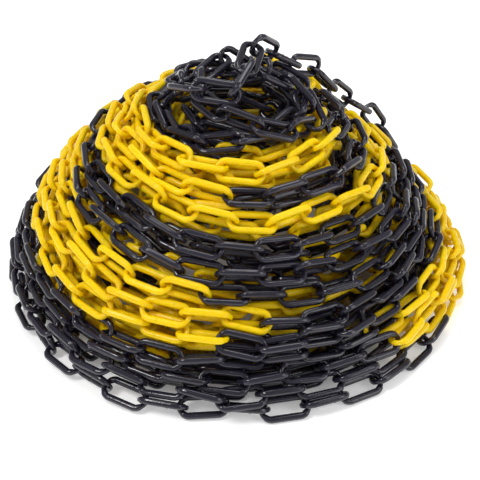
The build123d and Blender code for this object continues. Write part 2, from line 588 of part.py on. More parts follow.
-139.74 95.85 100.84 3124 3440 -7130 -5251
-158.31 61.12 102.92 680 -5560 8232 -931
-170.55 24.86 100.91 4282 4406 -5955 -5176
-176.13 -12.62 105.61 537 7186 -6933 -101
-173.76 -50.01 104.96 6529 3655 -2782 -6022
-161.37 -85.57 100.80 1565 8560 -4654 -1617
-138.34 -115.93 96.70 7206 5384 -2045 -3860
-112.79 -146.12 95.97 2038 8908 -3939 -990
-84.92 -171.82 92.54 8328 4519 -582 -3145
-49.83 -187.47 89.68 4304 8909 -810 -1201
-12.72 -195.68 86.18 9345 3437 457 -802
27.03 -193.64 81.89 3334 9355 1152 -185
63.01 -181.71 77.08 8940 3723 1736 1792
97.58 -163.06 73.92 2394 9268 2800 725
128.42 -140.25 74.84 8814 2759 752 3759
150.17 -111.22 74.46 1867 7828 5899 660
161.66 -74.18 72.62 7253 4089 2772 4795
171.40 -35.90 74.19 1131 7490 6430 1131
172.27 1.59 74.09 5500 3147 3685 6802
162.42 38.29 77.53 1893 5674 7596 2553
149.79 73.75 80.52 5390 1911 1296 8101
129.37 106.39 82.82 2269 3633 8235 3719
101.32 131.76 85.61 2149 1759 2667 9229
71.46 151.78 89.09 410 3078 9137 2620
38.02 169.35 92.89 1138 1025 4078 9001
1.09 177.95 95.68 441 -1435 -9028 -4030
-36.22 181.18 100.44 852 -178 -1983 -9763
-73.52 172.77 101.31 1028 1435 -8348 -5215
-108.55 154.63 102.01 2848 831 -3151 -9015
-138.67 129.44 104.10 2471 2964 -7782 -4955
-162.77 100.24 104.76 4459 309 -1015 -8888
-181.30 67.39 105.18 2856 4283 -7142 -4743
-194.22 30.70 105.08 6017 1661 -1936 -7569
-198.86 -6.64 105.70 2838 6432 -6190 -3500
-198.56 -44.89 104.22 7718 1011 -966 -6203
-188.08 -81.42 105.29 3385 7181 -5565 -2450
-174.95 -114.11 103.35 8505 809 -70 -5196
-154.98 -146.95 100.28 5388 7168 -2866 -3373
-131.67 -174.13 96.49 8753 2738 -538 -3949
-102.43 -196.73 93.78 4007 8836 -2106 -1196
-67.37 -212.91 89.99 9429 3059 -129 -1314
-29.18 -216.96 90.26 4716 8806 -197 -421
8.84 -218.11 86.67 9286 3524 777 -868
46.17 -217.85 80.22 4947 8640 932 -83
83.89 -206.59 77.35 9491 2380 615 1968
117.17 -185.47 76.87 4348 8248 3288 1499
146.40 -159.80 76.36 9071 842 517 4091
169.31 -129.36 75.98 4269 7316 4826 2229
184.90 -93.50 75.33 7736 870 535 6254
195.36 -56.23 75.64 3882 6650 5801 2656
199.77 -17.63 74.30 7428 1415 861 6487
198.65 20.03 75.57 2502 5652 7366 2745
190.22 57.29 74.54 5441 1006 1655 8163
173.35 91.91 76.00 1568 4482 8098 3445
152.82 124.52 78.65 4003 1142 1655 8940
123.35 149.34 85.40 257 2828 8314 4776
90.70 168.45 92.71 1891 1421 2049 9498
56.17 178.44 100.09 1006 -1439 -8181 -5476
20.19 179.81 108.95 244 -1390 -2469 -9587
-16.54 174.67 115.99 1000 528 -8669 -4854
-54.44 165.57 117.21 1503 656 -3161 -9344
-88.15 148.87 119.90 1118 2233 -9034 -3485
-120.30 127.07 119.75 3686 983 -2084 -9006
-143.57 98.11 123.73 2387 3521 -8351 -3488
-162.76 67.11 122.74 5376 1435 -1922 -8084
-175.45 32.88 125.76 3003 4680 -7144 -4247
-183.13 -1.42 123.22 5731 3550 -2860 -6810
-181.96 -36.98 124.28 3541 6563 -5684 -3475
-175.18 -72.18 121.41 7819 2778 -1306 -5426
-161.18 -107.14 119.50 4188 7192 -4233 -3580
-142.69 -139.86 115.41 8776 1665 -132 -4493
-117.17 -167.09 113.01 5943 7208 -2386 -2651
-84.69 -189.23 110.88 9702 806 123 -2284
-48.23 -202.46 108.90 6515 7455 -340 -1364
-11.08 -204.34 104.54 9957 694 549 263
23.44 -200.13 99.35 4296 8944 1209 -297
62.56 -190.91 94.25 9365 3139 881 1291
99.46 -179.70 92.54 3309 9208 1961 641
131.97 -157.91 89.99 8827 2730 1528 3507
154.94 -126.25 89.07 2349 8396 4720 1307
176.25 -94.30 90.21 8329 2445 1044 4854
188.02 -56.98 91.17 4719 5768 5711 3443
190.99 -16.70 87.22 7159 852 1182 6829
189.29 21.40 87.61 2280 6543 6553 3009
180.86 60.11 88.40 5124 1818 2765 7924
164.40 92.72 91.65 1079 4628 7841 3992
137.62 118.78 97.21 2825 1648 3537 8763
105.04 139.49 101.66 65 -2335 -9205 -3132
69.90 151.88 107.85 1410 1028 3238 9299
33.01 158.69 111.03 159 -735 -8928 -4441
-5.33 156.00 113.26 1069 -296 -1180 -9868
-43.28 147.97 114.07 364 1591 -8704 -4645
-78.43 131.87 113.80 2470 1170 -3783 -8844
-106.38 107.43 116.72 2253 3117 -8908 -2420
-130.51 79.94 122.26 3953 1156 -2514 -8759
-150.78 46.52 123.57 3404 4353 -7156 -4273
-164.65 11.21 125.39 6223 739 -388 -7783
-166.07 -25.34 122.45 4671 5830 -5396 -3883
-156.09 -62.76 121.47 8261 1202 -41 -5505
-138.39 -95.64 117.29 4006 7575 -4553 -2417
-116.91 -128.28 115.09 8781 2653 -709 -3919
-85.55 -151.73 112.16 3401 9115 -1870 -1363
-52.75 -170.21 106.66 9430 2463 403 -2202
-16.53 -177.77 103.03 5672 8186 610 -660
21.25 -174.43 99.02 9474 3015 1034 301
57.95 -168.37 93.42 3431 9266 1462 -487
92.08 -156.64 88.81 9455 2228 1032 2138
121.43 -131.38 88.38 3804 8316 3472 2077
143.02 -99.66 89.32 8523 1838 1280 4726
154.84 -65.15 86.86 3022 7176 6039 1703
157.12 -25.77 85.78 5892 2743 2397 7212
157.36 11.12 88.79 2424 6589 6445 3028
150.29 49.55 90.78 5280 2284 2386 7824
129.17 81.29 92.21 1815 3586 8664 2964
100.04 105.65 93.48 2184 1776 2355 9302
67.41 121.18 103.08 122 2819 8265 4871
33.94 128.44 105.55 388 139 373 -9985
-2.64 122.86 109.40 1476 -801 -5784 -7983
-41.10 113.67 114.17 1899 -197 1858 -9639
-75.64 98.59 118.00 2277 1230 -6657 -6999
-101.95 74.94 117.90 4723 -214 329 -8806
-119.74 43.51 121.75 3722 3052 -6584 -5786
-137.40 7.56 122.91 5935 591 -451 -8014
-138.95 -28.73 121.05 4396 6089 -5603 -3494
-131.31 -66.06 119.58 8119 2206 -1296 -5247
-110.23 -95.69 115.67 4225 8333 -2841 -2152
-81.32 -119.11 111.47 8455 3837 -101 -3711
-51.11 -138.99 106.88 3486 9118 -1765 -1265
-15.52 -148.33 102.25 9348 3443 755 -437
20.86 -146.16 96.56 2384 9594 1176 -946
54.37 -132.85 90.52 8670 4191 1829 1981
86.55 -111.98 88.34 2418 9238 2940 408
112.33 -91.23 86.82 8647 3239 1689 3449
131.16 -57.71 84.64 2190 7414 6242 1131
136.57 -19.50 83.12 6528 2332 1968 6933
131.58 17.52 84.21 1837 5476 7727 2632
116.09 52.19 88.55 4534 2136 1366 8545
93.70 79.28 92.87 1618 3253 7876 4977
64.37 98.00 98.27 2075 1673 846 9601
36.06 105.44 108.50 1196 -1089 -8940 -4178
1.53 105.07 120.64 842 -743 -4178 -9016
-34.33 100.11 123.39 563 936 -9651 -2379
-65.47 86.74 128.61 2952 457 -4407 -8465
-90.72 63.96 133.50 1977 3636 -8790 -2369
-109.03 33.54 135.09 4868 3207 -5073 -6347
-121.94 -0.38 137.80 941 6234 -7761 -116
-120.02 -37.58 139.14 6718 3602 -2769 -5851
-108.03 -70.86 135.33 559 8939 -4377 -794
-80.97 -97.04 131.47 7075 6033 -1197 -3482
-53.75 -119.95 125.70 1617 9558 -2318 -805
-20.54 -130.21 122.40 9334 3461 279 -905
14.90 -132.30 116.18 4740 8796 341 -224
48.83 -122.08 110.61 9403 2150 1358 2260
81.47 -102.60 107.84 5368 7955 2645 955
107.96 -76.80 104.84 8520 1861 1576 4632
118.50 -41.69 101.12 2947 6955 6185 2166
118.81 -5.18 100.98 5974 1336 1561 7752
106.80 32.10 100.51 3197 4598 6562 5058
91.63 66.29 107.22 4765 1200 101 8709
66.59 90.50 113.08 1404 2292 5535 7883
39.87 112.04 123.13 4254 1436 362 8928
7.00 130.41 127.47 1030 529 7420 6604
-31.87 131.76 125.84 797 -192 -329 -9961
-67.61 121.76 129.19 2120 929 -7535 -6154
-97.83 103.18 132.88 3614 -75 -652 -9301
-116.98 72.89 133.99 2558 4645 -7344 -4236
-132.59 37.79 136.89 5001 2393 -3616 -7496
-143.56 2.46 137.42 1854 6511 -7164 -1687
-144.01 -35.23 137.66 7097 3143 -2705 -5695
-135.16 -72.29 136.79 2012 8172 -5094 -1795
-114.22 -102.31 133.59 8158 4336 -1082 -3670
-86.46 -129.73 130.92 3340 8572 -3415 -1926
-56.70 -152.09 128.24 8640 4280 -415 -2619
-21.89 -163.17 122.97 3682 9157 -141 -1603
13.71 -166.28 116.29 9543 2837 924 -177
49.73 -157.40 111.78 4815 8383 2557 -70
82.18 -139.30 106.08 9078 3100 1803 2175
112.27 -117.32 104.13 4917 7885 3208 1831
134.18 -86.57 103.74 8386 1625 1010 5100
145.48 -49.55 103.45 3773 6429 6063 2768
146.89 -10.25 101.53 6413 1517 1776 7309
134.51 26.47 102.06 2829 4858 7258 3965
120.72 63.75 104.22 5535 2008 1613 7920
103.35 95.13 112.15 732 4066 7762 4762
76.32 120.45 118.07 2768 1658 2064 9237
43.54 137.14 122.43 552 1887 9278 3170
8.51 149.73 124.39 1294 704 1724 9740
-28.64 153.27 132.20 1217 23 -8387 -5309
-64.97 146.37 131.25 1367 773 -574 -9859
-98.09 128.40 133.41 2387 1383 -8519 -4453
-124.01 104.42 135.39 5090 847 -2561 -8174
-144.23 71.64 139.49 1837 4929 -8211 -2217
-160.19 37.56 140.04 5698 2255 -2877 -7360
-164.66 1.65 141.56 2963 5953 -6561 -3568
-165.89 -35.07 139.09 7567 1352 -1178 -6287
-159.04 -69.53 139.88 3041 6952 -5929 -2695
-147.89 -104.22 135.33 8053 3371 -1703 -4569
-126.45 -130.46 136.45 3964 8411 -2628 -2576
-101.92 -157.20 130.23 8822 2903 -325 -3694
-71.07 -179.50 126.06 4549 8545 -1342 -2117
-35.50 -190.68 121.55 9336 3442 176 -982
4.25 -192.89 119.17 4623 8849 494 -271
42.18 -186.28 114.74 9584 2485 894 1080
75.49 -170.98 111.69 5206 7938 3135 234
106.60 -149.47 107.18 9020 2967 1375 2821
135.56 -123.67 106.16 3300 8832 3145 1106
161.97 -95.85 105.11 8492 2198 1115 4671
175.01 -58.99 103.96 4382 6146 5741 3172
178.49 -19.73 99.89 7379 884 1230 6577
177.76 18.74 102.07 2691 5920 6430 4047
164.50 53.59 103.73 5267 555 883 8437
145.72 87.62 106.66 2262 4329 6323 6014
123.88 116.22 113.52 3245 875 866 9379
96.20 132.92 122.04 758 -2800 -8447 -4499
60.65 142.52 131.51 469 1581 2804 9456
23.24 145.61 140.18 627 -839 -9428 -3166
-16.08 143.27 141.69 683 703 -3616 -9272
-51.81 133.19 144.14 1167 1787 -9673 -1371
-85.96 118.00 148.48 2702 790 -5265 -8022
-112.76 92.84 151.71 524 4221 -8937 -1429
-134.12 60.23 151.76 4191 3289 -5119 -6739
-148.00 27.29 152.92 2015 6018 -7436 -2104
-151.37 -9.21 155.74 6201 2223 -2954 -6920
-151.20 -45.37 153.65 2478 7311 -5864 -2454
-140.28 -77.66 152.53 8095 3054 -1823 -4672
-122.59 -108.95 151.87 4220 7862 -3778 -2472
-98.01 -135.39 150.37 8542 3665 -636 -3633
-68.91 -157.98 147.68 3904 8692 -2131 -2161
-36.04 -174.74 141.96 9285 3437 110 -1400
2.31 -178.99 138.79 4765 8727 827 -668
39.15 -171.69 134.22 8973 4056 1268 1194
72.39 -153.56 130.15 3529 8739 3338 171
102.00 -130.84 125.82 9012 2964 1594 2730
130.94 -104.95 123.64 3756 8256 4000 1317
150.31 -71.57 122.18 7374 3558 2597 5121
159.15 -34.99 123.29 2886 6928 6326 1912
160.58 4.57 119.90 6086 2870 3077 6727
150.24 40.81 121.92 801 5606 8130 1355
133.88 76.33 121.73 3897 3079 5506 6710
108.86 103.49 127.57 582 -3304 -9395 -698
76.18 118.30 135.05 467 -1822 -4516 -8722
38.54 118.63 139.54 113 930 -9474 -3061
-1.31 115.11 139.37 111 54 3470 9378
-38.33 109.10 140.43 693 860 -9138 -3909
-73.77 97.58 142.32 2201 -152 -1092 -9692
-103.61 76.06 147.54 3271 2560 -7472 -5188
-121.08 44.57 151.72 6318 -290 724 -7712
-127.65 9.23 150.77 3201 5595 -6622 -3820
-131.12 -27.93 152.83 7460 66 -300 -6652
-124.10 -64.82 153.91 4529 6781 -4789 -3252
-102.46 -96.58 150.04 9366 1264 306 -3253
-70.45 -117.68 144.96 5696 7661 -2317 -1867
-37.80 -136.20 140.58 9609 191 341 -2742
-1.54 -146.64 138.11 6304 7729 -156 -707
36.47 -144.10 134.87 9752 1833 768 972
70.75 -129.83 130.16 4902 8077 3156 876
96.92 -104.69 123.88 8926 1999 2279 3338
121.56 -77.33 121.13 3660 8310 3694 1975
134.41 -43.90 119.74 7112 2331 1745 6399
133.51 -5.06 120.06 3497 5379 6531 4023
123.35 30.17 119.77 4852 2626 3639 7505
101.81 60.52 123.97 716 4233 8652 2590
76.45 83.03 126.84 2061 1960 2715 9195
41.43 89.57 132.69 76 -298 9323 3604
3.20 85.81 134.69 843 -686 -4430 -8899
-35.62 78.64 140.04 720 1518 -9524 -2542
-71.66 63.83 141.65 2559 731 -4847 -8332
-91.08 36.54 146.30 1045 6304 -7565 -1392
-100.00 -0.11 146.76 5286 3511 -3997 -6614
-102.40 -30.57 148.80 1446 7716 -5922 -1820
-89.70 -64.23 147.64 7740 4056 -2254 -4308
-68.81 -91.17 148.05 2005 9218 -2824 -1744
-36.09 -109.16 141.36 7194 6662 -296 -1942
-2.15 -117.37 137.23 2135 9702 -5 -1148
33.60 -112.43 132.19 8584 4852 1327 1006
65.51 -94.04 129.04 2977 8704 3906 341
89.81 -67.04 124.51 8490 3115 2380 3544
105.94 -35.24 120.34 2129 7351 6271 1451
103.82 0.48 119.62 5607 2664 3291 7116
89.24 30.12 120.78 648 4373 8597 2560
65.17 52.93 125.90 1223 3299 3529 8670
38.93 63.76 140.04 1659 -2318 -8746 -3922
6.97 67.38 148.15 550 -759 -5167 -8510
-29.12 63.80 153.07 821 808 -9888 -952
-56.58 44.77 155.28 4124 1431 -3986 -8066
-77.45 15.05 158.39 1477 4575 -8682 -1228
-84.74 -18.22 160.25 5432 3383 -3943 -6596
-78.61 -52.78 161.92 476 8635 -5015 -243
-56.19 -81.03 160.28 6068 6535 -2151 -3981
-26.52 -101.09 157.39 1470 9832 -835 -685
11.28 -98.55 151.55 7801 6196 846 180
40.40 -86.59 149.85 163 9369 3442 -584
65.12 -64.43 146.80 6399 6387 3912 1722
81.45 -34.72 139.89 626 7780 6161 -1057
86.58 1.98 134.39 4888 5058 4879 5170
80.92 38.62 141.73 360 5681 8023 1794
60.65 68.53 142.43 2928 2139 5145 7771
32.73 90.17 146.66 661 -1888 -9724 -1200
-3.96 97.28 148.96 89 369 5337 8448
-37.37 94.37 154.40 734 1643 -9813 -683
-66.06 74.28 157.13 3230 1915 -5063 -7763
-89.93 44.61 160.05 718 4486 -8813 -1299
-106.53 12.68 162.24 5641 1241 -2951 -7611
-111.34 -24.84 167.30 2603 6360 -6890 -2305
-102.92 -62.30 163.89 6696 5112 -2558 -4742
-82.25 -93.61 162.18 1220 8863 -4386 -846
-54.32 -117.54 158.67 7836 5593 -1002 -2513
-21.03 -133.01 158.05 2767 9546 -1087 -203
16.00 -129.84 154.11 8583 4734 1461 1338
49.36 -117.45 148.99 2706 9344 2315 118
78.69 -97.51 146.37 8434 3895 1977 3130
98.79 -66.08 144.45 2738 7862 5431 1093
107.96 -31.35 139.96 7173 1738 2483 6274
107.16 6.01 139.06 1514 6834 6915 1782
101.25 42.47 141.96 4986 2906 3594 7333
83.78 75.47 144.01 669 4828 8489 2044
56.57 100.87 147.42 2822 1773 3372 8804
25.61 120.77 152.17 318 -1863 -9702 -1519
-13.27 124.24 155.13 610 -116 -5730 -8172
-49.53 115.30 161.08 818 1987 -9018 -3749
-81.94 96.15 161.16 2816 179 -1303 -9505
-106.89 71.80 164.36 1956 3971 -8557 -2682
-123.37 37.66 166.58 5329 1102 -2069 -8131
-130.47 6.53 170.65 3145 5892 -6275 -4004
-134.26 -28.40 169.67 6978 -215 106 -7159
-126.07 -59.83 169.21 3787 7309 -5060 -2576
-111.63 -93.29 168.64 8837 1333 -446 -4464
-85.99 -118.73 169.39 5535 7463 -2571 -2658
-58.42 -143.26 163.29 9377 1784 -263 -2970
-22.57 -156.41 161.48 5396 8330 -332 -1175
14.62 -156.47 153.54 9828 1448 937 663
49.29 -145.55 151.49 5137 8224 1923 1505
81.70 -127.09 148.89 9258 2102 929 3000
113.35 -103.20 146.53 4481 8226 3345 1030
136.26 -73.37 144.43 7709 3366 2308 4890
145.51 -36.32 142.75 2520 6931 6405 2140
144.09 2.65 140.33 5971 2222 3157 7032
130.89 39.97 140.88 1458 5045 7893 3181
108.01 71.91 147.37 2946 2403 2540 8894
87.08 85.66 156.22 1886 -4632 -7661 -4037
54.74 98.68 166.42 1107 603 2856 9500
14.77 104.48 168.57 12 289 9021 4305
-25.81 104.38 168.42 268 93 -3628 -9315
-63.17 95.34 171.89 1295 2097 -9104 -3322
-91.12 73.20 175.00 4184 737 -2082 -8810
-108.47 39.93 179.89 2821 5041 -7790 -2438
-115.01 3.91 185.06 6186 2610 -2722 -6893
-116.26 -27.95 184.40 2800 6092 -7175 -1889
-107.62 -62.90 183.81 8063 3393 -2074 -4379
-89.44 -93.36 181.78 3366 8367 -3363 -2714
-63.08 -119.35 176.99 9395 994 -272 -3267
-28.36 -135.14 175.69 5831 8008 -99 -1369
11.25 -137.97 169.69 9942 845 520 425
46.95 -125.26 168.98 4966 8423 1708 1211
82.59 -108.38 168.25 9293 2574 852 2509
109.59 -82.83 165.90 4457 7455 4769 1351
122.77 -48.42 160.94 7506 2181 2251 5816
124.63 -9.88 160.97 1951 6184 7164 2575
113.02 28.00 160.60 4781 2708 4565 6998
90.92 57.57 160.94 91 3076 9404 1448
56.18 74.03 162.26 1842 950 4305 8785
18.70 79.47 164.74 89 230 -9798 -1984
-21.69 76.02 166.19 813 -25 -5018 -8612
-58.35 65.36 171.42 1637 1724 -9387 -2497
-82.34 41.46 174.56 5478 890 -1572 -8169
-91.74 4.38 175.03 2357 5612 -7384 -2904
-93.27 -32.49 172.77 7351 1757 -1378 -6401
-80.07 -65.46 177.62 5042 6724 -4720 -2662
-54.45 -89.58 174.72 9479 2516 -58 -1953
-21.54 -103.55 172.31 4994 8210 -2453 -1279
11.90 -111.83 171.23 9940 869 517 425
45.92 -99.72 167.52 5504 7705 3057 997
73.94 -76.56 164.39 9175 1155 1175 3619
92.14 -49.22 162.66 4931 6618 4860 2875
96.05 -13.94 161.17 6385 874 1507 7496
80.68 19.51 159.19 2564 3905 7615 4493
53.15 42.01 161.95 1812 1309 1022 9693
17.66 47.86 165.46 220 275 -8308 -5554
-20.19 43.33 167.51 1258 -642 -2478 -9585
-49.80 26.28 170.67 1410 3964 -8416 -3387
-64.98 -5.25 170.74 5997 2482 -3300 -6855
-62.48 -36.83 169.94 474 8454 -5146 -1352
-41.32 -64.65 169.23 8059 4854 -2190 -2587
-11.17 -79.80 166.71 336 9966 -492 -569
22.75 -71.94 164.21 8022 5464 1837 1556
54.86 -51.53 161.81 332 9388 3414 319
61.73 -19.93 163.06 5468 3102 3851 6756
44.57 10.34 169.33 440 -4018 -8486 -3412
16.90 25.20 179.16 828 1698 2775 9420
-14.25 23.47 188.09 1764 1342 -9217 -3182
-39.28 2.36 189.35 4415 2207 -4050 -7697
-43.62 -30.11 191.78 3349 7647 -4949 -2410
-19.27 -52.31 187.79 9606 2323 327 -1490
9.44 -53.90 184.37 4359 8779 1675 -1064
36.58 -38.22 180.37 7966 3908 1277 4431
51.23 -6.02 184.34 1652 7509 5991 2233
43.11 28.88 184.12 3747 2248 4053 8030
15.27 49.07 185.02 193 1641 9585 2324
-21.10 51.35 184.94 714 511 -3839 -9192
-53.25 34.15 189.61 1734 4034 -8836 -1625
-72.32 3.59 194.73 4332 2637 -3925 -7673
-75.30 -29.63 191.08 3348 7501 -4156 -3907
-59.35 -58.22 187.91 8500 3235 -3562 -2145
-32.94 -77.43 189.36 539 -9744 1657 1418
0.97 -84.87 181.77 8679 4903 152 -777
37.34 -76.16 181.08 1654 9377 3042 295
64.29 -47.58 178.95 7392 4628 2512 4200
80.22 -15.81 181.21 975 7750 6128 1197
80.44 22.97 185.38 4538 4448 4170 6499
68.11 57.74 186.98 1215 5411 8313 362
44.32 82.77 189.89 601 2811 5679 7713
10.96 89.52 188.89 1078 -961 9802 1352
-27.44 80.04 186.20 1847 296 -5609 -8065
-63.52 62.69 190.05 872 2755 -9280 -2350
-89.39 35.28 189.15 4810 2159 -3707 -7646
-98.47 -0.41 191.95 2492 5896 -7170 -2760
-97.14 -37.73 191.73 6368 4419 -3415 -5316
-83.82 -71.62 195.35 1847 8377 -5074 -813
-63.80 -96.26 193.61 8617 3831 -1249 -3086
-33.26 -112.17 191.93 1439 9849 -220 -933
3.08 -118.03 185.97 9165 3965 307 -424
38.43 -108.06 184.46 3518 8931 2586 1084
68.67 -86.14 183.37 8351 3736 1537 3733
88.55 -54.29 182.76 2929 8058 4972 1330
104.77 -21.65 179.21 7928 2113 2269 5247
99.55 13.15 181.96 3002 4074 6203 5993
78.98 45.12 180.78 5176 -606 736 8503
52.06 65.38 182.53 682 2705 7577 5900
24.85 79.32 187.78 554 2297 3404 9101
11.32 62.48 206.06 6281 2147 -4848 -5695
-14.14 60.76 203.48 72 978 -2996 -9490
-47.53 48.39 204.27 1573 2918 -8742 -3548
-73.19 21.52 200.92 4534 2334 -2501 -8230
-81.44 -11.53 195.18 15 -7664 6322 1138
-72.05 -45.80 192.26 7410 3546 -2598 -5076
-49.25 -72.76 195.93 4246 8464 -3015 -1118
-16.00 -87.10 199.30 9777 2012 -604 87
16.89 -80.90 200.68 2464 9358 2516 160
43.80 -55.85 199.92 6656 6150 2185 3620
61.29 -24.95 206.10 2110 7022 6606 1611
58.73 11.53 206.56 5786 1733 1282 7866
54.04 24.57 209.48 917 -2465 -8047 -5323
34.74 28.66 212.52 983 875 4629 8766
1.32 29.48 224.13 3160 -922 -8375 -4361
-25.96 10.85 230.21 4639 334 770 -8819
-36.45 -24.36 225.95 4452 5447 -4634 -5388
-25.83 -57.68 222.75 8941 942 112 -4378
3.32 -77.14 219.62 5578 8102 -274 -1780
36.64 -80.13 210.03 9757 1210 1715 625
64.26 -58.08 198.84 6109 6263 4604 1501
73.79 -30.96 204.48 4824 2379 -2420 8075
60.71 -20.65 216.48 70 4083 5915 6953
38.02 -13.44 231.29 1995 -3058 82 -9309
19.93 -1.97 232.15 4065 2501 8146 3295
1.25 19.18 221.80 3052 -1534 480 9386
-31.62 22.77 218.28 1035 660 -8717 -4744
-56.70 4.82 221.92 5453 -540 -880 -8319
-58.90 -24.52 229.45 6837 3394 -5630 -3169
-49.32 -50.14 240.13 8726 -1945 -893 -4390
-21.02 -61.20 241.02 8706 4856 610 -508
4.22 -44.31 246.72 3227 7707 4150 3600
12.23 -17.94 254.72 1722 -7602 -6263 120
28.18 13.67 250.69 5928 -6169 -529 5149
48.88 34.73 228.23 9003 -1184 2731 3177
72.96 54.61 209.90 7014 6032 3600 1209
95.36 71.57 184.39 1752 8640 2782 -3813
117.66 88.58 156.56 5138 -7117 -81 4789
141.30 108.46 130.16 8929 -1165 3058 3093
165.24 124.72 102.42 6894 5212 4844 -1360
184.81 135.39 68.60 1971 8424 2297 -4458
"""


def bar_axis(start_joint, end_joint):
    """A bar's length, unit direction and the radius it loses per millimetre of length."""
    (start, start_radius), (end, end_radius) = start_joint, end_joint
    length = math.dist(start, end)
    direction = ((end[0] - start[0]) / length, (end[1] - start[1]) / length)
    return length, direction, (start_radius - end_radius) / length


def outline(start_joint, end_joint, side):
    """A point and the direction of the line touching both joint circles on one side of a bar."""
    _, (ux, uy), slope = bar_axis(start_joint, end_joint)
    (x, y), radius = start_joint
    rise = side * math.sqrt(1 - slope * slope)
    normal_x = ux * slope - uy * rise
    normal_y = uy * slope + ux * rise
    return (x + normal_x * radius, y + normal_y * radius), (-normal_y, normal_x)


def meet(line, other):
    """The point where two lines cross, each given as a point and a direction."""
    (px, py), (ax, ay) = line
    (qx, qy), (bx, by) = other
    t = ((qx - px) * by - (qy - py) * bx) / (ax * by - ay * bx)
    return px + ax * t, py + ay * t


def extended(start, end):
    """A mitre line's two ends, each carried a little past the bars' outline."""
    share = MITRE_MARGIN / math.dist(start, end)
    dx, dy = (end[0] - start[0]) * share, (end[1] - start[1]) * share
    return (start[0] - dx, start[1] - dy), (end[0] + dx, end[1] + dy)


def make_bar(start_joint, end_joint, start_mitre, end_mitre):
    """A round bar, run on past both joints and then cut back to its two mitres."""
    length, (ux, uy), slope = bar_axis(start_joint, end_joint)
    (x, y), radius = start_joint
    full_length = length + 2 * RUN_ON
    base = Plane(origin=(x - ux * RUN_ON, y - uy * RUN_ON, 0), x_dir=(0, 0, 1), z_dir=(ux, uy, 0))
    if abs(slope) < 1e-9:
        bar = Solid.make_cylinder(radius, full_length, base)
    else:
        # The cone touches the joint circles, so its sections there are a little larger.
        swell = 1 / math.sqrt(1 - slope * slope)
        base_radius = (radius + slope * RUN_ON) * swell
        tip_radius = (radius - slope * (length + RUN_ON)) * swell
        bar = Solid.make_cone(base_radius, tip_radius, full_length, base)
    corners = [start_mitre[0], end_mitre[0], end_mitre[1], start_mitre[1]]
    wire = Wire.make_polygon([Vector(x, y, -CUTTER_HALF_HEIGHT) for x, y in corners], close=True)
    cutter = Solid.extrude(Face(wire), Vector(0, 0, 2 * CUTTER_HALF_HEIGHT))
    return bar.intersect(cutter).solids()[0]


def make_link():
    """Eight round bars, mitred where they meet. The side and end bars are cylinders, and the
    corner bars taper between their two radii, so that every mitre is a plane ellipse."""
    joint_pairs = list(zip(JOINTS, JOINTS[1:] + JOINTS[:1]))
    outlines = [[outline(*pair, side) for side in (1, -1)] for pair in joint_pairs]
    mitres = [
        extended(*[meet(outlines[i - 1][k], outlines[i][k]) for k in (0, 1)])
        for i in range(len(JOINTS))
    ]
    bars = [
        make_bar(*pair, mitres[i], mitres[(i + 1) % len(mitres)])
        for i, pair in enumerate(joint_pairs)
    ]
    return bars[0].fuse(*bars[1:]).solids()[0].clean()


def link_location(lay_line):
    """A link's place from its line of the table, with the quaternion brought to unit length."""
    x, y, z, *turn = [float(value) for value in lay_line.split()]
    size = math.hypot(*turn)
    qw, qx, qy, qz = [value / size for value in turn]
    along = (1 - 2 * (qy * qy + qz * qz), 2 * (qx * qy + qz * qw), 2 * (qx * qz - qy * qw))
    normal = (2 * (qx * qz + qy * qw), 2 * (qy * qz - qx * qw), 1 - 2 * (qx * qx + qy * qy))
    return Location(Plane(origin=(x, y, z), x_dir=along, z_dir=normal))


def chain_pieces():
    """Each piece's name, and its first and last link."""
    pieces = [(f"floor_end_link_{i + 1:02d}", i, i) for i in range(FLOOR_END_LINKS)]
    first = FLOOR_END_LINKS
    for number, (last, colour) in enumerate(RUNS, 1):
        pieces.append((f"chain_run_{number:02d}_{colour}", first, last))
        first = last + 1
    for i in range(TOP_END_LINKS):
        pieces.append((f"top_end_link_{i + 1:02d}", first + i, first + i))
    return pieces


os.makedirs("parts", exist_ok=True)
link = make_link()
locations = [link_location(line) for line in LAY.splitlines()]
for name, first, last in chain_pieces():
    solids = [link.moved(location) for location in locations[first:last + 1]]
    piece = solids[0] if len(solids) == 1 else Compound(solids)
    export_step(piece, f"parts/{name}.step", write_pcurves=False)
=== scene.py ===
"""A plastic chain of black and yellow links, coiled in a heap on the floor about the origin.

The floor is z = 0. The chain starts on the floor at the back (+Y), winds anticlockwise seen
from above as it climbs, and its top end hangs down over the heap to the right (+X) and back.
The camera looks from the front (-Y). Links are worked out in millimetres and built in metres.
"""
import math
import bpy
import numpy as np
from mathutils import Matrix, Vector


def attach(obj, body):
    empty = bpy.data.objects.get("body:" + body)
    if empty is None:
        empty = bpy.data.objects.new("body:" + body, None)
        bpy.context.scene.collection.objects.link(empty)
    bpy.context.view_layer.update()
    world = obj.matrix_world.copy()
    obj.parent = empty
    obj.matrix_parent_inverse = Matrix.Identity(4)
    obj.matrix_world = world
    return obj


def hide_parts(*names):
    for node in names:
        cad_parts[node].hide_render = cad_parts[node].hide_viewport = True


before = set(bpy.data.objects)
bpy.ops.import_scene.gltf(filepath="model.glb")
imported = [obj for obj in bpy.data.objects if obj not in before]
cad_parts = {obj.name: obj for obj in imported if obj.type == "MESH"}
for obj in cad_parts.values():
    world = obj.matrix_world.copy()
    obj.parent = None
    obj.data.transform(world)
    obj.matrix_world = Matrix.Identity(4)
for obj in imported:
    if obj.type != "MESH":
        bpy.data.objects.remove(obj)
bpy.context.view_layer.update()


# ------------------------------------------------------------------ the link, in millimetres
LENGTH, WIDTH = 52.0, 26.0          # over the outside of the bar
SIDE_RADIUS, END_RADIUS = 3.6, 2.75  # of the bar, along the sides and at the ends
CUT = 6.0                           # how far each corner of the ring is cut back
FILLET = 3.0                        # straight given up to the bend on each side of a corner
BEND_STEPS = 4
BEND_THINNING = 0.22                # loss of bar radius in the middle of a bend
LONG_STRAIGHT = 20.0                # straights above this length get more sections
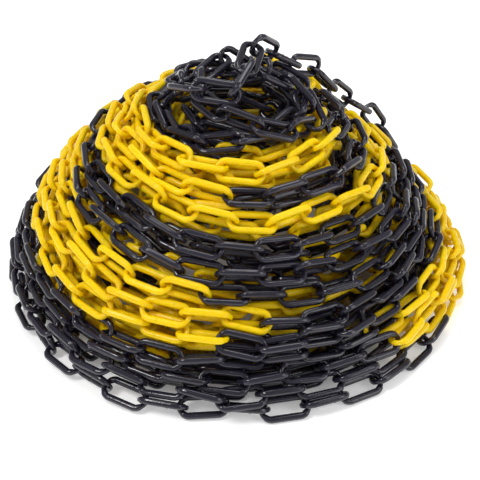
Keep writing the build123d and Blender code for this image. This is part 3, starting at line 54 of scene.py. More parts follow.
LONG_SECTIONS, SHORT_SECTIONS = 5, 1
SMOOTH_PASSES, SMOOTH_SLACK = 2, 0.02

# Half sizes of the centre line
HALF_X, HALF_Y = LENGTH / 2 - END_RADIUS, WIDTH / 2 - SIDE_RADIUS
CORNERS = np.array([
    (HALF_X - CUT, HALF_Y), (HALF_X, HALF_Y - CUT),
    (HALF_X, CUT - HALF_Y), (HALF_X - CUT, -HALF_Y),
    (CUT - HALF_X, -HALF_Y), (-HALF_X, CUT - HALF_Y),
    (-HALF_X, HALF_Y - CUT), (CUT - HALF_X, HALF_Y)])
CORNER_RADII = [SIDE_RADIUS, END_RADIUS, END_RADIUS, SIDE_RADIUS] * 2

# Places round the bar's section, in degrees from its outer rim, closer at the seam lines
SECTION_ANGLES = np.radians([
    0, 5, 17, 32, 50, 70, 90, 110, 130, 148, 163, 175,
    180, 185, 197, 212, 230, 250, 270, 290, 310, 328, 343, 355])
RIM_FLAT, RIM_KEEP = 0.80, 0.55     # beyond this share of the radius, keep this much
FACE_FLAT, FACE_KEEP = 0.93, 0.6
SEAM_HEIGHT = 0.16

GATE_X = 6.5
GATE_SEAT = SIDE_RADIUS * 0.958
GATE_SEGMENTS = 12
GATE_RINGS = [(1.35, -0.45), (1.35, 0.10), (1.15, 0.24), (0.6, 0.27)]  # radius, height over seat


def centre_line():
    """Points round the ring (clockwise from above), outward directions and bar radii."""
    points, outwards, radii = [], [], []
    for i, corner in enumerate(CORNERS):
        after = (i + 1) % len(CORNERS)
        arriving, leaving = corner - CORNERS[i - 1], CORNERS[after] - corner
        straight = np.linalg.norm(leaving)
        arriving, leaving = arriving / np.linalg.norm(arriving), leaving / straight
        turn = math.acos(float(np.clip(arriving @ leaving, -1, 1)))
        bend_radius = FILLET / math.tan(turn / 2)
        inward = np.array([arriving[1], -arriving[0]])
        bend_centre = corner - arriving * FILLET + inward * bend_radius
        for step in range(BEND_STEPS + 1):
            angle = turn * step / BEND_STEPS
            outward = -(inward * math.cos(angle)) + arriving * math.sin(angle)
            points.append(bend_centre + outward * bend_radius)
            outwards.append(outward)
            thinning = BEND_THINNING * math.sin(math.pi * step / BEND_STEPS)
            radii.append(CORNER_RADII[i] - thinning)

        # the straight that follows the bend
        start, end = corner + leaving * FILLET, CORNERS[after] - leaving * FILLET
        sections = LONG_SECTIONS if straight > LONG_STRAIGHT else SHORT_SECTIONS
        for step in range(1, sections + 1):
            share = step / (sections + 1)
            points.append(start + (end - start) * share)
            outwards.append(outward)
            change = CORNER_RADII[after] - CORNER_RADII[i]
            radii.append(CORNER_RADII[i] + change * share)

    radii = np.array(radii)
    for _ in range(SMOOTH_PASSES):
        mean = (np.roll(radii, 1) + 2 * radii + np.roll(radii, -1)) / 4
        radii = np.minimum(radii, mean + SMOOTH_SLACK)
    return points, outwards, radii


def bar():
    """The round bar, flattened on its outer rim and both faces, with the mould's seam line."""
    points, outwards, radii = centre_line()
    vertices = []
    for point, outward, radius in zip(points, outwards, radii):
        for angle in SECTION_ANGLES:
            x, z = math.cos(angle), math.sin(angle)
            seam = 1.0 + SEAM_HEIGHT / radius if abs(z) < 1e-6 else 1.0
            if x > RIM_FLAT:
                x = RIM_FLAT + (x - RIM_FLAT) * RIM_KEEP
            if abs(z) > FACE_FLAT:
                z = math.copysign(FACE_FLAT + (abs(z) - FACE_FLAT) * FACE_KEEP, z)
            vertices.append((*(point + outward * x * radius * seam), z * radius))
    around, sides = len(points), len(SECTION_ANGLES)
    faces = []
    for i in range(around):
        here, there = i * sides, (i + 1) % around * sides
        for j in range(sides):
            k = (j + 1) % sides
            faces.append((here + j, here + k, there + k, there + j))
    return vertices, faces


def gate_stub(x, y, base):
    """A low rounded pad on the upper face of a side bar; its vertices start at base."""
    turns = np.linspace(0, 2 * math.pi, GATE_SEGMENTS, endpoint=False)
    vertices = [(x + math.cos(turn) * radius, y + math.sin(turn) * radius, GATE_SEAT + height)
                for radius, height in GATE_RINGS for turn in turns]
    vertices += [(x, y, GATE_SEAT + GATE_RINGS[-1][1]), (x, y, GATE_SEAT + GATE_RINGS[0][1])]
    following = [(j + 1) % GATE_SEGMENTS for j in range(GATE_SEGMENTS)]
    last = base + (len(GATE_RINGS) - 1) * GATE_SEGMENTS
    faces = []
    for low in range(base, last, GATE_SEGMENTS):
        high = low + GATE_SEGMENTS
        faces += [(low + j, low + k, high + k, high + j) for j, k in enumerate(following)]
    top = last + GATE_SEGMENTS
    for j, k in enumerate(following):
        faces.append((last + j, last + k, top))
        faces.append((base + k, base + j, top + 1))
    return vertices, faces


def link_shape():
    """Vertices and faces of one moulded link: the bar and two gate stubs."""
    vertices, faces = bar()
    for side in (1, -1):
        more_vertices, more_faces = gate_stub(side * GATE_X, side * HALF_Y, len(vertices))
        vertices += more_vertices
        faces += more_faces
    return np.array(vertices), faces


# ------------------------------------------------------------------ where the links lie
# One link a line, from the floor end: its centre x y z in millimetres, then its turn as a
# unit quaternion w x y z in ten-thousandths.
LINKS = """
31.05 261.39 14.08 546 0 0 9985
-8.79 261.97 14.08 297 297 -7065 -7065
-48.00 254.82 14.08 1369 0 0 -9906
-85.26 240.64 14.08 1580 1580 -6892 -6892
-119.63 220.40 14.08 3012 0 0 -9535
-150.66 195.27 14.01 2569 2604 -6597 -6565
-177.84 165.98 13.86 4247 24 56 -9053
-201.29 133.75 13.50 3337 3310 -6236 -6247
-221.70 99.41 15.75 5201 -268 -143 -8536
-237.58 62.81 17.39 4098 4027 -5812 -5763
-248.10 24.08 16.41 6527 143 142 -7573
-249.63 -15.31 13.99 5107 5161 -4817 -4907
-244.82 -55.07 12.95 7668 -2 26 -6419
-234.40 -94.24 13.05 6017 5404 -3930 -4376
-220.54 -130.93 12.03 8555 144 -216 -5171
-199.41 -164.88 13.10 6159 6255 -3413 -3361
-174.29 -196.45 12.57 9261 775 -264 -3683
-143.01 -222.12 12.56 5484 7770 -2525 -1783
-108.71 -243.67 11.20 9530 1920 -301 -2325
-71.12 -256.06 10.83 4143 9031 -1028 -472
-32.14 -257.57 9.59 9730 2287 7 315
6.80 -260.19 9.72 3404 9392 -417 -151
46.19 -260.05 9.15 9522 2921 209 871
84.68 -249.75 9.74 3368 9266 1571 571
120.60 -233.14 8.90 9358 2686 703 2175
152.83 -210.95 9.30 2936 8887 3344 1105
181.44 -183.66 9.01 8710 2695 1214 3925
205.01 -152.16 10.51 2578 8366 4514 1726
223.82 -116.26 11.43 7466 3910 2497 4769
236.52 -80.37 11.22 299 7457 6648 327
245.30 -42.18 12.61 4591 6390 5012 3601
250.44 -3.12 12.40 7 7013 7129 -31
245.01 36.34 13.07 4159 4478 5800 5387
233.66 73.46 11.51 985 6042 7766 1487
217.26 109.01 12.88 3662 2947 5534 6876
192.49 140.92 11.76 1055 3866 9012 1651
164.80 169.17 10.85 3692 1703 3826 8296
135.70 194.98 10.96 423 2545 9553 1447
100.29 212.12 11.42 2147 1122 4492 8599
63.19 226.23 11.47 230 905 9821 1639
23.62 231.75 11.39 642 334 4601 8849
-16.30 230.66 11.23 121 1144 -9312 -3460
-54.55 218.01 9.65 1954 696 -3284 -9215
-90.93 200.76 9.61 728 2265 -9188 -3150
-122.82 177.76 9.08 3385 935 -2699 -8966
-149.95 148.82 9.80 1418 3852 -8576 -3098
-174.74 116.99 9.57 4476 1570 -2914 -8307
-195.15 82.66 10.21 1711 5038 -8067 -2573
-208.28 45.64 11.59 5437 2953 -3750 -6903
-218.97 7.38 11.32 1142 6107 -7717 -1358
-221.24 -31.83 11.44 6481 3403 -3168 -6032
-215.94 -71.16 10.25 1888 7509 -6087 -1732
-204.10 -107.90 9.16 7946 2546 -1682 -5249
-184.78 -142.72 9.69 2995 8412 -4238 -1521
-157.71 -171.77 9.15 8897 2700 -1065 -3523
-125.20 -194.24 9.76 3310 9065 -2463 -899
-90.00 -212.03 9.20 9315 2679 -644 -2375
-53.61 -227.23 9.73 3379 9329 -1171 -422
-13.97 -232.85 9.28 9496 3120 -89 -270
25.90 -231.35 9.68 3304 9404 774 240
63.16 -219.60 8.70 9486 2676 481 1617
99.15 -204.85 9.63 3017 9155 2496 920
130.92 -180.58 9.55 8814 3078 1182 3383
160.33 -153.90 9.18 2829 9023 3118 933
187.75 -127.54 8.18 8598 2071 1143 4525
204.46 -93.86 9.09 2419 7671 5666 1787
215.78 -57.93 9.11 7733 1637 1241 5999
221.79 -19.64 10.98 2976 6266 6506 3090
218.68 19.62 11.23 6227 1028 1203 7663
208.56 58.57 11.80 2903 5081 7041 4023
191.57 94.39 10.84 4950 812 1344 8546
169.24 127.22 11.40 1982 3809 8011 4169
141.60 155.98 10.61 3565 897 2150 9048
109.17 180.02 11.22 1187 2376 8625 4309
73.15 194.79 10.07 1618 388 1787 9697
34.58 199.00 10.82 72 156 9090 4165
-5.33 198.34 10.90 592 77 -2130 -9752
-44.91 190.33 11.34 599 1167 -8818 -4530
-81.22 174.41 10.59 2710 500 -1731 -9456
-112.78 150.75 12.10 1927 3127 -7918 -4880
-139.39 121.10 11.73 4331 380 -928 -8958
-163.11 88.48 12.34 2629 3992 -7335 -4832
-180.03 52.42 11.33 5870 1019 -1452 -7899
-188.24 12.90 12.28 3597 5558 -6292 -4072
-187.76 -26.85 10.71 7390 1626 -1320 -6403
-181.24 -66.15 10.82 3255 7110 -5668 -2595
-167.09 -102.17 10.49 8273 1394 -1151 -5320
-146.29 -136.65 11.75 4403 7794 -3881 -2192
-119.19 -164.30 10.76 9176 1100 -605 -3771
-86.71 -186.44 11.54 4598 8553 -2103 -1130
-50.16 -197.56 9.13 9559 2773 -326 -910
-11.26 -204.54 9.48 3244 9430 -705 -243
27.35 -203.53 9.21 9653 2566 -45 479
66.05 -194.11 10.60 3931 8986 1788 782
101.41 -174.97 9.30 9230 2575 955 2696
131.22 -150.00 8.86 2682 9032 3210 962
154.89 -120.75 8.48 8575 2310 1170 4445
173.76 -87.06 9.09 2514 7984 5219 1643
183.83 -49.74 8.46 7585 2042 1619 5973
190.09 -11.68 9.79 2180 6646 6743 2369
188.72 26.98 12.73 5378 4080 4459 5878
175.04 62.56 11.71 1658 3729 8899 2037
152.55 94.33 9.09 4220 1331 2698 8552
128.33 124.29 10.91 647 3666 8908 2605
96.27 148.77 12.15 2339 1460 5091 8153
60.33 166.91 11.63 709 1675 9365 2996
22.81 178.23 13.08 707 717 5512 8283
-14.21 175.89 15.14 43 -1723 9349 3102
-51.52 163.59 15.79 2196 -163 -4900 -8434
-87.05 148.21 22.64 1345 1660 -9174 -3356
-120.51 127.09 26.35 3295 998 -3479 -8720
-146.95 99.01 27.71 1758 4258 -8375 -2939
-166.83 66.05 28.62 4094 2735 -4216 -7615
-180.82 28.99 29.33 1548 6212 -7558 -1373
-185.35 -9.57 29.86 4918 4567 -4645 -5777
-182.90 -49.36 27.95 582 7943 -6015 -628
-168.07 -85.88 25.30 6855 4614 -2360 -5114
-149.80 -121.32 24.91 1529 8589 -4867 -450
-125.06 -152.07 26.84 7341 5616 -2185 -3130
-93.91 -176.81 27.23 1303 9517 -2779 -53
-57.24 -193.17 26.59 7732 6117 -509 -1594
-18.44 -202.70 24.08 7 -9979 647 51
19.60 -201.92 23.95 7864 6115 864 -108
58.33 -193.98 25.27 1033 9804 1503 748
93.31 -178.24 26.44 7390 6167 2485 1087
124.83 -155.67 22.33 307 9364 3483 291
147.75 -125.35 22.76 7656 4467 2956 3563
167.13 -90.65 22.45 722 8465 5225 727
178.42 -54.18 22.63 7121 3510 3400 5041
178.64 -16.13 20.77 588 6021 7946 515
171.84 22.88 18.04 5646 3192 4317 6269
165.57 61.89 20.65 26 -6460 -7476 -1542
147.06 94.71 23.99 3830 1608 3659 8328
120.74 121.44 25.04 30 3032 9435 1337
86.83 138.58 22.49 2269 1042 6412 7256
52.13 156.32 24.54 124 -2268 -9607 -1595
14.97 165.73 27.40 520 991 5700 8140
-21.28 176.56 28.40 102 1320 9760 1732
-59.63 175.81 26.86 440 627 -3861 -9193
-97.75 165.73 28.81 1203 1709 -9445 -2536
-131.17 147.82 26.69 1943 1947 -4061 -8715
-162.40 123.45 25.43 1379 3731 -8864 -2367
-186.01 91.88 27.38 4364 2529 -4646 -7278
-202.28 55.47 28.74 1585 5664 -7886 -1794
-212.50 17.74 29.06 5226 3571 -3753 -6772
-216.27 -22.15 27.52 1572 6919 -6883 -1508
-212.97 -59.37 25.88 7424 2708 -1747 -5874
-197.94 -95.81 25.23 4135 7553 -4619 -2125
-177.33 -130.48 26.81 8410 2367 -1317 -4683
-153.20 -162.43 26.97 4471 7964 -3622 -1860
-124.68 -190.00 26.53 9203 1167 -419 -3711
-91.97 -213.46 26.32 5586 7921 -1889 -1577
-55.06 -228.20 25.03 9858 1081 -238 -1262
-16.50 -233.44 26.98 6677 7435 -62 -354
23.84 -232.23 25.52 9974 136 76 699
62.42 -222.40 24.94 5942 7837 1573 896
98.31 -207.54 24.25 9853 452 -286 1624
130.73 -189.52 24.80 4363 8315 3271 1063
157.78 -161.03 24.59 8683 2137 390 4460
179.87 -129.41 24.70 3152 7807 5285 1088
194.22 -94.46 21.22 8117 1760 1240 5429
205.29 -56.10 20.80 3317 7079 5707 2514
210.94 -17.55 21.62 6797 1235 824 7183
207.56 21.44 23.10 2867 5602 7062 3244
195.74 59.24 22.50 5557 1259 1497 8081
179.25 95.25 22.45 2339 4316 7997 3456
155.58 126.07 22.34 3944 1227 1537 8976
126.96 153.60 21.66 2209 2538 8492 4069
94.10 175.87 21.24 2009 1111 1751 9574
57.32 190.61 25.50 476 1798 8805 4360
20.69 202.72 25.75 893 -201 1252 9879
-19.56 207.17 24.15 186 221 7536 6567
-60.12 207.73 24.56 294 -32 -909 -9954
-99.07 198.57 27.00 1551 1074 -7839 -5915
-135.44 181.60 27.44 2493 342 -98 -9678
-167.74 158.77 28.06 2407 2458 -7696 -5380
-196.86 132.17 30.03 4260 252 -287 -9039
-211.71 98.63 28.86 2587 5294 -7267 -3532
-223.30 61.44 29.65 5147 2523 -2970 -7637
-236.87 23.79 32.55 2729 4945 -7979 -2106
-243.61 -14.56 35.52 6647 1922 -1794 -6994
-241.80 -53.19 32.45 1768 7629 -5738 -2399
-234.73 -91.73 29.47 7593 2478 -2035 -5662
-218.83 -127.42 31.44 2589 8015 -5193 -1446
-198.95 -159.46 32.04 8666 1820 -1095 -4515
-173.63 -189.78 31.04 5264 7553 -3057 -2426
-142.90 -215.67 30.27 9592 667 -215 -2737
-108.72 -232.89 27.26 4383 8739 -1207 -1721
-71.36 -246.87 25.89 9625 2154 -919 -1367
-33.77 -259.73 27.18 3833 9138 -1003 -891
4.20 -262.31 25.91 9800 1895 -265 543
41.63 -253.42 25.61 3879 9102 1451 76
80.20 -242.40 22.80 9520 2577 632 1525
116.38 -225.85 22.76 3458 9122 2001 908
149.52 -203.79 23.15 8925 2762 904 3450
177.78 -174.96 23.08 3603 8355 3905 1403
202.08 -143.31 24.65 8377 2782 721 4644
220.77 -109.38 26.07 2981 7905 5164 1397
238.05 -74.03 26.94 7817 2395 903 5687
243.10 -36.40 26.82 3131 6139 6981 1942
238.24 2.68 24.20 5914 2332 2196 7400
233.95 42.28 25.66 2044 6441 7022 2240
222.67 78.46 25.26 3894 3454 5439 6582
204.56 114.00 25.21 1412 4932 8402 1757
181.12 144.80 24.56 3758 1691 3152 8549
154.05 172.63 24.66 1209 4006 8871 1950
123.92 198.82 25.82 1916 2162 4653 8367
88.72 215.55 27.47 827 1516 9735 1498
50.11 226.52 27.07 652 1094 5060 8531
10.74 229.73 30.49 240 353 -9835 -1755
-29.47 226.17 33.59 886 -310 -5427 -8347
-65.42 216.33 39.03 1698 1536 -9385 -2584
-99.93 201.50 44.85 2374 250 -2566 -9366
-132.66 181.25 47.87 1402 2245 -8143 -5167
-163.37 157.51 48.12 3804 256 -2116 -8999
-189.60 127.68 49.23 1877 4023 -7797 -4416
-212.06 94.03 47.53 4965 1111 -1741 -8431
-225.81 58.24 50.28 3757 4617 -6275 -5020
-234.07 19.81 50.52 6751 1240 -1513 -7113
-235.88 -18.73 50.02 2318 6565 -6619 -2778
-234.51 -56.94 47.11 7618 1703 -856 -6192
-220.88 -94.60 45.47 4080 7419 -4584 -2701
-202.50 -130.51 46.01 8377 2021 -1351 -4891
-180.13 -161.93 44.85 3365 8307 -3963 -1990
-153.65 -192.39 43.46 8865 2659 -1132 -3612
-123.18 -217.02 43.45 2872 9236 -2350 -964
-87.01 -233.16 40.71 8769 4348 -573 -1970
-49.03 -246.60 39.50 2255 9657 -1248 -312
-12.08 -253.83 38.43 9569 2835 -13 -638
26.16 -248.86 39.62 3313 9363 1050 504
64.88 -238.33 38.09 9448 3008 838 989
102.47 -225.02 38.20 3358 9242 1520 997
139.11 -209.03 40.25 8356 5006 1216 1909
169.75 -184.36 39.86 1958 8643 4569 763
193.79 -153.56 40.58 6379 6280 3184 3120
212.31 -120.44 40.00 477 8496 5209 671
227.58 -83.98 42.04 7251 4210 2752 4705
235.19 -47.40 40.95 2296 6861 6685 1721
234.34 -7.10 38.44 6291 2573 3078 6659
228.63 29.99 37.59 738 6421 7607 602
215.81 68.02 36.98 4328 3128 4786 6970
201.76 104.32 38.73 1374 5579 7973 1850
180.85 137.18 39.10 3549 1807 3271 8570
150.14 162.37 40.05 1015 2462 9278 2613
115.47 181.39 40.28 2309 1264 3436 9015
80.96 200.69 42.68 293 2020 9467 2490
42.43 209.10 41.84 516 198 4976 8657
2.02 209.62 43.38 356 365 -9526 -3000
-35.42 205.31 43.45 408 272 -2026 -9780
-71.55 192.65 44.43 1393 1882 -8873 -3974
-106.71 172.57 46.94 2672 913 -3985 -8726
-137.00 147.12 46.17 463 4018 -8782 -2554
-164.46 118.44 44.06 4013 1369 -3339 -8418
-187.88 86.39 46.80 1667 4557 -8467 -2182
-204.18 52.18 48.40 4939 3299 -4763 -6483
-209.40 14.81 48.56 418 6839 -7243 -770
-207.47 -25.54 47.82 5401 5246 -4686 -4621
-203.67 -64.52 45.78 283 -7390 6731 -113
-191.64 -102.07 45.60 5773 6054 -4014 -3730
-171.35 -134.65 45.53 240 -8959 4429 -264
-144.91 -164.93 44.79 6853 6192 -2342 -3035
-113.86 -189.09 41.68 604 9629 -2594 -443
-79.44 -203.97 35.17 6659 7241 -414 -1747
-42.15 -213.89 35.69 323 -9948 919 -309
-3.94 -214.83 38.40 8446 5347 -91 269
34.92 -216.72 38.72 1092 9936 -188 240
74.49 -210.68 39.65 7187 6797 987 1081
109.92 -195.59 38.29 997 9617 2525 390
141.71 -171.48 39.57 7954 4884 1681 3171
169.42 -144.21 39.70 485 8867 4587 308
187.51 -108.33 38.29 6108 5462 4283 3810
196.14 -70.89 36.45 1078 7499 6376 1395
204.18 -31.44 36.99 7040 3778 3288 5035
208.24 7.75 39.06 493 6752 7198 1532
199.33 45.78 38.94 4445 3848 6131 5277
182.86 80.78 36.71 247 5004 8587 1075
159.42 113.26 36.40 3979 1914 4921 7502
130.97 140.11 36.69 30 3169 9418 1121
97.87 160.49 39.81 1319 2602 6589 6934
63.64 178.89 41.98 300 2261 9538 1957
26.92 187.09 41.66 178 70 3233 9461
-11.15 181.24 43.85 590 1286 -9299 -3396
-48.25 167.79 45.14 2234 298 -2583 -9394
-82.03 147.69 45.47 1569 2590 -8277 -4725
-112.84 122.31 45.54 3692 816 -2630 -8876
-139.74 92.29 46.33 1716 4112 -8145 -3716
-163.11 61.06 44.60 4865 1440 -1904 -8405
-175.95 24.33 46.44 2880 5539 -7282 -2827
-182.98 -11.99 47.58 6615 985 -1121 -7349
-183.09 -50.81 48.89 3564 6638 -5751 -3186
-170.59 -87.43 46.18 8309 1344 -708 -5352
-147.00 -119.06 43.12 5130 7743 -2363 -2854
-121.59 -146.69 43.05 9246 633 -395 -3735
-89.05 -169.88 43.62 5400 8024 -2099 -1430
-53.65 -186.03 42.60 9937 230 355 -1037
-13.64 -190.84 41.64 6137 7882 -469 -11
24.60 -188.71 40.15 9906 166 812 1090
60.67 -174.16 32.50 5557 7886 2601 409
96.31 -156.60 29.32 9691 578 49 2398
126.42 -134.29 34.54 3492 8757 2004 2665
153.00 -108.66 36.58 8780 988 1382 4475
166.17 -72.49 36.31 2668 7559 5271 2820
176.15 -35.87 35.90 7628 1016 1807 6125
172.08 0.85 34.00 1666 5988 7480 2330
166.40 38.39 33.24 5847 2175 3279 7094
153.26 73.97 36.17 39 -5764 -8059 -1351
133.25 105.16 38.56 3493 1636 3679 8461
101.94 129.73 39.87 531 2452 9379 2397
68.09 147.46 39.86 1214 1075 4156 8950
29.64 154.10 41.95 170 267 9812 1905
-7.64 152.66 49.04 1519 -1714 -5172 -8247
-43.50 147.50 58.70 1249 1254 -9714 -1580
-78.03 132.15 63.08 2688 739 -4828 -8302
-110.44 110.15 64.39 946 3115 -9060 -2703
-139.01 82.58 63.40 3923 1915 -4091 -8013
-158.91 50.47 64.54 1074 4893 -8560 -1276
-172.34 15.64 66.03 4454 4269 -5927 -5178
-177.50 -21.80 68.64 418 7311 -6764 -789
-166.79 -58.10 64.54 6432 5472 -3324 -4200
-150.43 -92.66 64.66 2626 8157 -4833 -1794
-128.40 -124.30 61.27 8351 2918 -720 -4607
-101.81 -151.69 59.83 3079 9038 -2869 -774
-67.32 -168.02 57.17 9208 3046 218 -2426
-31.58 -179.56 56.62 3663 9281 -611 266
4.70 -177.41 54.36 9766 1823 1139 -72
43.71 -171.87 50.97 4852 8660 939 766
81.15 -160.31 47.34 9716 1608 1306 1143
112.12 -141.09 48.70 4821 7767 2711 3015
136.08 -110.29 49.66 8870 743 1136 4415
154.41 -77.50 49.55 3326 7555 4903 2797
163.12 -42.25 47.77 7745 -171 687 6286
163.29 -4.18 47.11 2666 6433 6115 3758
159.59 35.10 48.89 6275 966 1546 7570
147.01 70.04 51.12 1499 4959 7834 3435
126.18 99.43 51.90 3988 211 776 9135
94.93 122.19 52.59 1027 2953 8282 4652
60.81 142.79 55.04 2073 489 1487 9657
24.50 158.52 57.10 570 2193 8686 4406
-11.96 168.26 59.31 840 840 2338 9650
-50.04 172.59 65.07 518 141 -9114 -4080
-87.10 161.80 64.03 2218 1112 -4759 -8438
-121.41 145.40 64.57 614 2766 -9503 -1289
-146.79 116.81 65.01 3695 2614 -5116 -7304
-169.88 85.27 63.86 186 5109 -8582 -460
-185.10 48.70 64.16 4001 4251 -6290 -5133
-194.69 10.40 64.57 2 -6392 7685 288
-195.94 -27.67 64.61 5558 4634 -3934 -5671
-191.89 -66.13 65.35 695 7558 -6486 -574
-181.15 -104.33 64.17 6208 5526 -3364 -4428
-160.80 -137.75 62.85 76 -9148 4032 217
-132.17 -162.84 60.87 6580 6611 -1833 -3106
-100.04 -186.84 57.81 426 9616 -2710 -86
-66.17 -205.08 58.74 6954 6781 -1183 -2063
-29.16 -216.25 56.16 394 9980 -488 91
10.32 -218.57 55.82 7194 6945 125 -7
47.87 -211.01 54.05 1641 9677 1902 221
82.35 -192.49 49.28 6981 6566 2553 1281
113.86 -170.85 47.76 1999 8990 3862 529
142.31 -142.10 45.61 7874 4742 2189 3273
168.50 -113.22 48.71 1824 8780 4157 1517
184.27 -79.71 46.53 7648 3405 2909 4633
194.02 -41.97 46.96 1285 7069 6697 1879
191.91 -4.07 44.82 5184 4559 5171 5060
187.26 33.87 46.59 1511 5669 7805 2161
174.67 69.15 50.04 4476 2866 3972 7482
157.84 105.78 51.49 803 5274 8341 1407
134.49 136.19 51.99 2900 1701 3710 8656
101.29 158.83 56.75 89 2594 9204 2924
67.97 176.29 59.46 1334 719 3487 9249
28.91 187.18 60.95 287 1242 9357 3291
-10.60 194.74 60.19 676 -29 3374 9389
-50.61 193.47 61.01 562 694 -9377 -3359
-86.58 186.43 64.90 1398 -151 -2350 -9618
-122.51 170.93 66.36 788 2857 -8811 -3686
-154.84 146.90 66.93 3271 965 -4184 -8418
-182.86 118.57 68.15 962 4338 -8583 -2566
-204.02 84.54 66.79 4559 2641 -4112 -7438
-219.94 47.99 64.77 1199 5625 -7901 -2120
-226.54 10.77 65.86 6332 2437 -3206 -6610
-228.04 -27.20 65.44 2830 6731 -6326 -2581
-222.25 -65.98 65.68 7609 2745 -2294 -5413
-210.03 -103.39 66.01 3043 7788 -5029 -2192
-191.44 -138.39 65.61 8083 3138 -1815 -4640
-168.82 -170.14 63.87 4077 8119 -3694 -1953
-141.05 -196.06 59.39 8812 3449 -906 -3104
-109.47 -218.84 58.37 2099 9447 -2452 -576
-73.88 -235.53 56.20 8894 4314 -429 -1448
-34.28 -240.47 56.30 2908 9564 229 174
4.03 -236.27 55.37 8685 4844 1028 -213
44.00 -233.23 53.79 2238 9727 238 571
81.43 -223.29 53.40 9374 3071 996 1308
116.64 -207.21 51.60 2552 9175 2970 698
146.04 -183.75 50.06 8713 3665 1159 3052
175.19 -157.94 52.17 2271 8957 3646 1147
198.91 -126.55 53.14 7457 4487 2687 4128
213.04 -90.96 51.39 2829 7291 5787 2312
218.39 -51.38 49.95 7001 2553 2632 6126
225.42 -13.37 51.09 1370 7482 6175 2003
226.55 25.55 52.23 6210 2382 2929 6869
214.71 63.08 53.58 1347 5134 8011 2766
198.49 99.29 53.74 5298 1533 2888 7825
175.82 129.62 53.14 1318 3642 8316 3981
147.51 155.74 53.68 2779 485 2292 9316
116.73 175.33 55.28 85 2846 9274 2426
82.63 192.47 58.27 1309 801 3420 9271
47.08 205.48 63.15 624 -1453 -9439 -2899
8.90 208.41 67.98 211 -616 -3948 -9164
-29.92 203.96 75.84 1612 523 -9249 -3403
-65.42 191.22 83.25 1828 957 -4720 -8571
-100.81 176.74 81.90 417 2353 -9588 -1536
-131.66 156.31 82.85 2735 880 -3500 -8916
-156.06 131.57 86.50 2456 3219 -7873 -4650
-177.01 100.77 89.58 4954 50 -1512 -8554
-194.30 68.73 89.70 2925 4908 -6761 -4652
-207.35 32.35 87.90 6026 1417 -1168 -7767
-213.07 -7.14 85.54 3479 5763 -5980 -4351
-213.07 -46.78 84.12 7107 2140 -1735 -6473
-204.12 -85.89 83.36 4326 6895 -4801 -3270
-188.78 -122.30 82.42 8126 2238 -1074 -5274
-167.82 -155.22 80.07 3598 8168 -3915 -2240
-141.43 -183.34 78.19 8854 3266 -812 -3207
-106.83 -203.45 76.23 3285 9245 -1700 -920
-69.10 -217.74 74.87 9292 3236 -583 -1689
-32.54 -230.27 75.41 2335 9685 -852 -164
4.36 -238.17 71.22 9006 4192 688 -920
42.51 -234.11 70.42 1407 9859 827 381
80.74 -223.73 70.05 7191 6691 1698 796
114.19 -204.60 66.97 2079 9032 3740 325
141.08 -180.48 64.96 9103 2258 946 3339
165.61 -150.49 64.16 3113 8377 4291 1312
187.14 -116.85 60.71 8086 3132 2251 4444
204.75 -81.96 63.12 1407 8305 5021 1957
216.71 -44.98 65.31 6664 3700 3214 5618
214.61 -7.16 63.06 2072 5568 7701 2323
205.00 31.77 61.59 6102 2346 3009 6943
195.12 68.38 62.95 1523 4946 8184 2499
175.33 102.58 62.19 4444 2355 3863 7732
152.42 134.34 66.35 496 4387 8683 2262
125.37 162.41 69.95 3031 1640 3181 8832
95.38 185.04 74.43 196 -2556 -9497 -1798
58.54 196.07 75.95 144 282 4878 8724
19.44 195.26 78.36 628 445 -9811 -1778
-20.16 188.01 81.85 1221 433 -5811 -8034
-56.19 174.63 81.35 596 2047 -9453 -2467
-92.46 156.53 81.63 2257 1150 -4724 -8442
-124.09 134.49 82.62 1104 2732 -9208 -2555
-152.22 107.52 82.81 4242 1996 -4041 -7855
-169.01 73.59 83.69 947 6145 -7778 -924
-179.64 35.24 85.96 5096 2885 -4671 -6625
-189.22 -3.94 87.81 1474 6466 -7241 -1896
-186.19 -41.97 85.17 7181 2523 -1672 -6266
-176.73 -81.18 84.13 3140 7447 -5449 -2233
-160.59 -115.53 82.65 7465 4267 -1438 -4899
-134.97 -143.19 79.77 3574 8732 -2985 -1436
-104.00 -165.87 74.67 8461 4489 -746 -2774
-70.60 -187.20 73.07 2805 9224 -2531 -804
-35.14 -201.70 69.96 9058 3730 282 -1990
1.29 -205.57 66.20 4490 8935 37 -105
37.04 -199.80 64.03 9537 2716 984 837
75.00 -190.05 63.20 3737 9117 1397 985
107.96 -171.58 62.27 9009 1803 1121 3786
134.08 -145.00 61.56 2585 8792 3798 1263
160.02 -115.11 62.03 8376 2989 1447 4337
178.39 -83.24 61.58 1672 8253 5332 817
186.20 -47.69 61.62 6197 2750 2222 7007
186.36 -9.45 60.96 1370 6640 7314 735
177.66 28.74 60.13 3483 4879 5610 5709
162.11 65.49 64.88 44 -4914 -8684 -655
142.15 99.28 65.68 3885 2640 4755 7439
117.66 131.57 66.93 417 4165 8999 1224
86.62 150.76 68.14 606 1065 4303 8943
49.83 157.87 74.22 1099 -1098 -9276 -3397
11.55 156.90 77.54 17 781 -3512 -9330
-23.78 148.86 76.56 1220 899 -9473 -2823
-60.13 133.44 82.39 2688 426 -3763 -8856
-92.27 110.95 84.40 1455 3022 -8650 -3732
-122.11 83.98 85.78 3466 1592 -4119 -8276
-144.31 53.17 84.79 1905 4990 -7868 -3092
-159.52 16.55 86.22 5882 1670 -2939 -7346
-166.22 -21.63 88.53 2862 6332 -6677 -2669
-162.52 -58.54 86.59 7384 3410 -1879 -5506
-143.15 -90.37 82.14 2454 8594 -3951 -2123
-122.19 -121.85 77.87 7829 4277 -1512 -4257
-92.67 -147.96 75.67 2091 9383 -2607 -891
-58.67 -165.24 71.70 8922 3971 -26 -2152
-20.93 -172.45 70.37 1587 9861 -488 -15
16.12 -169.63 67.40 8970 4165 1172 903
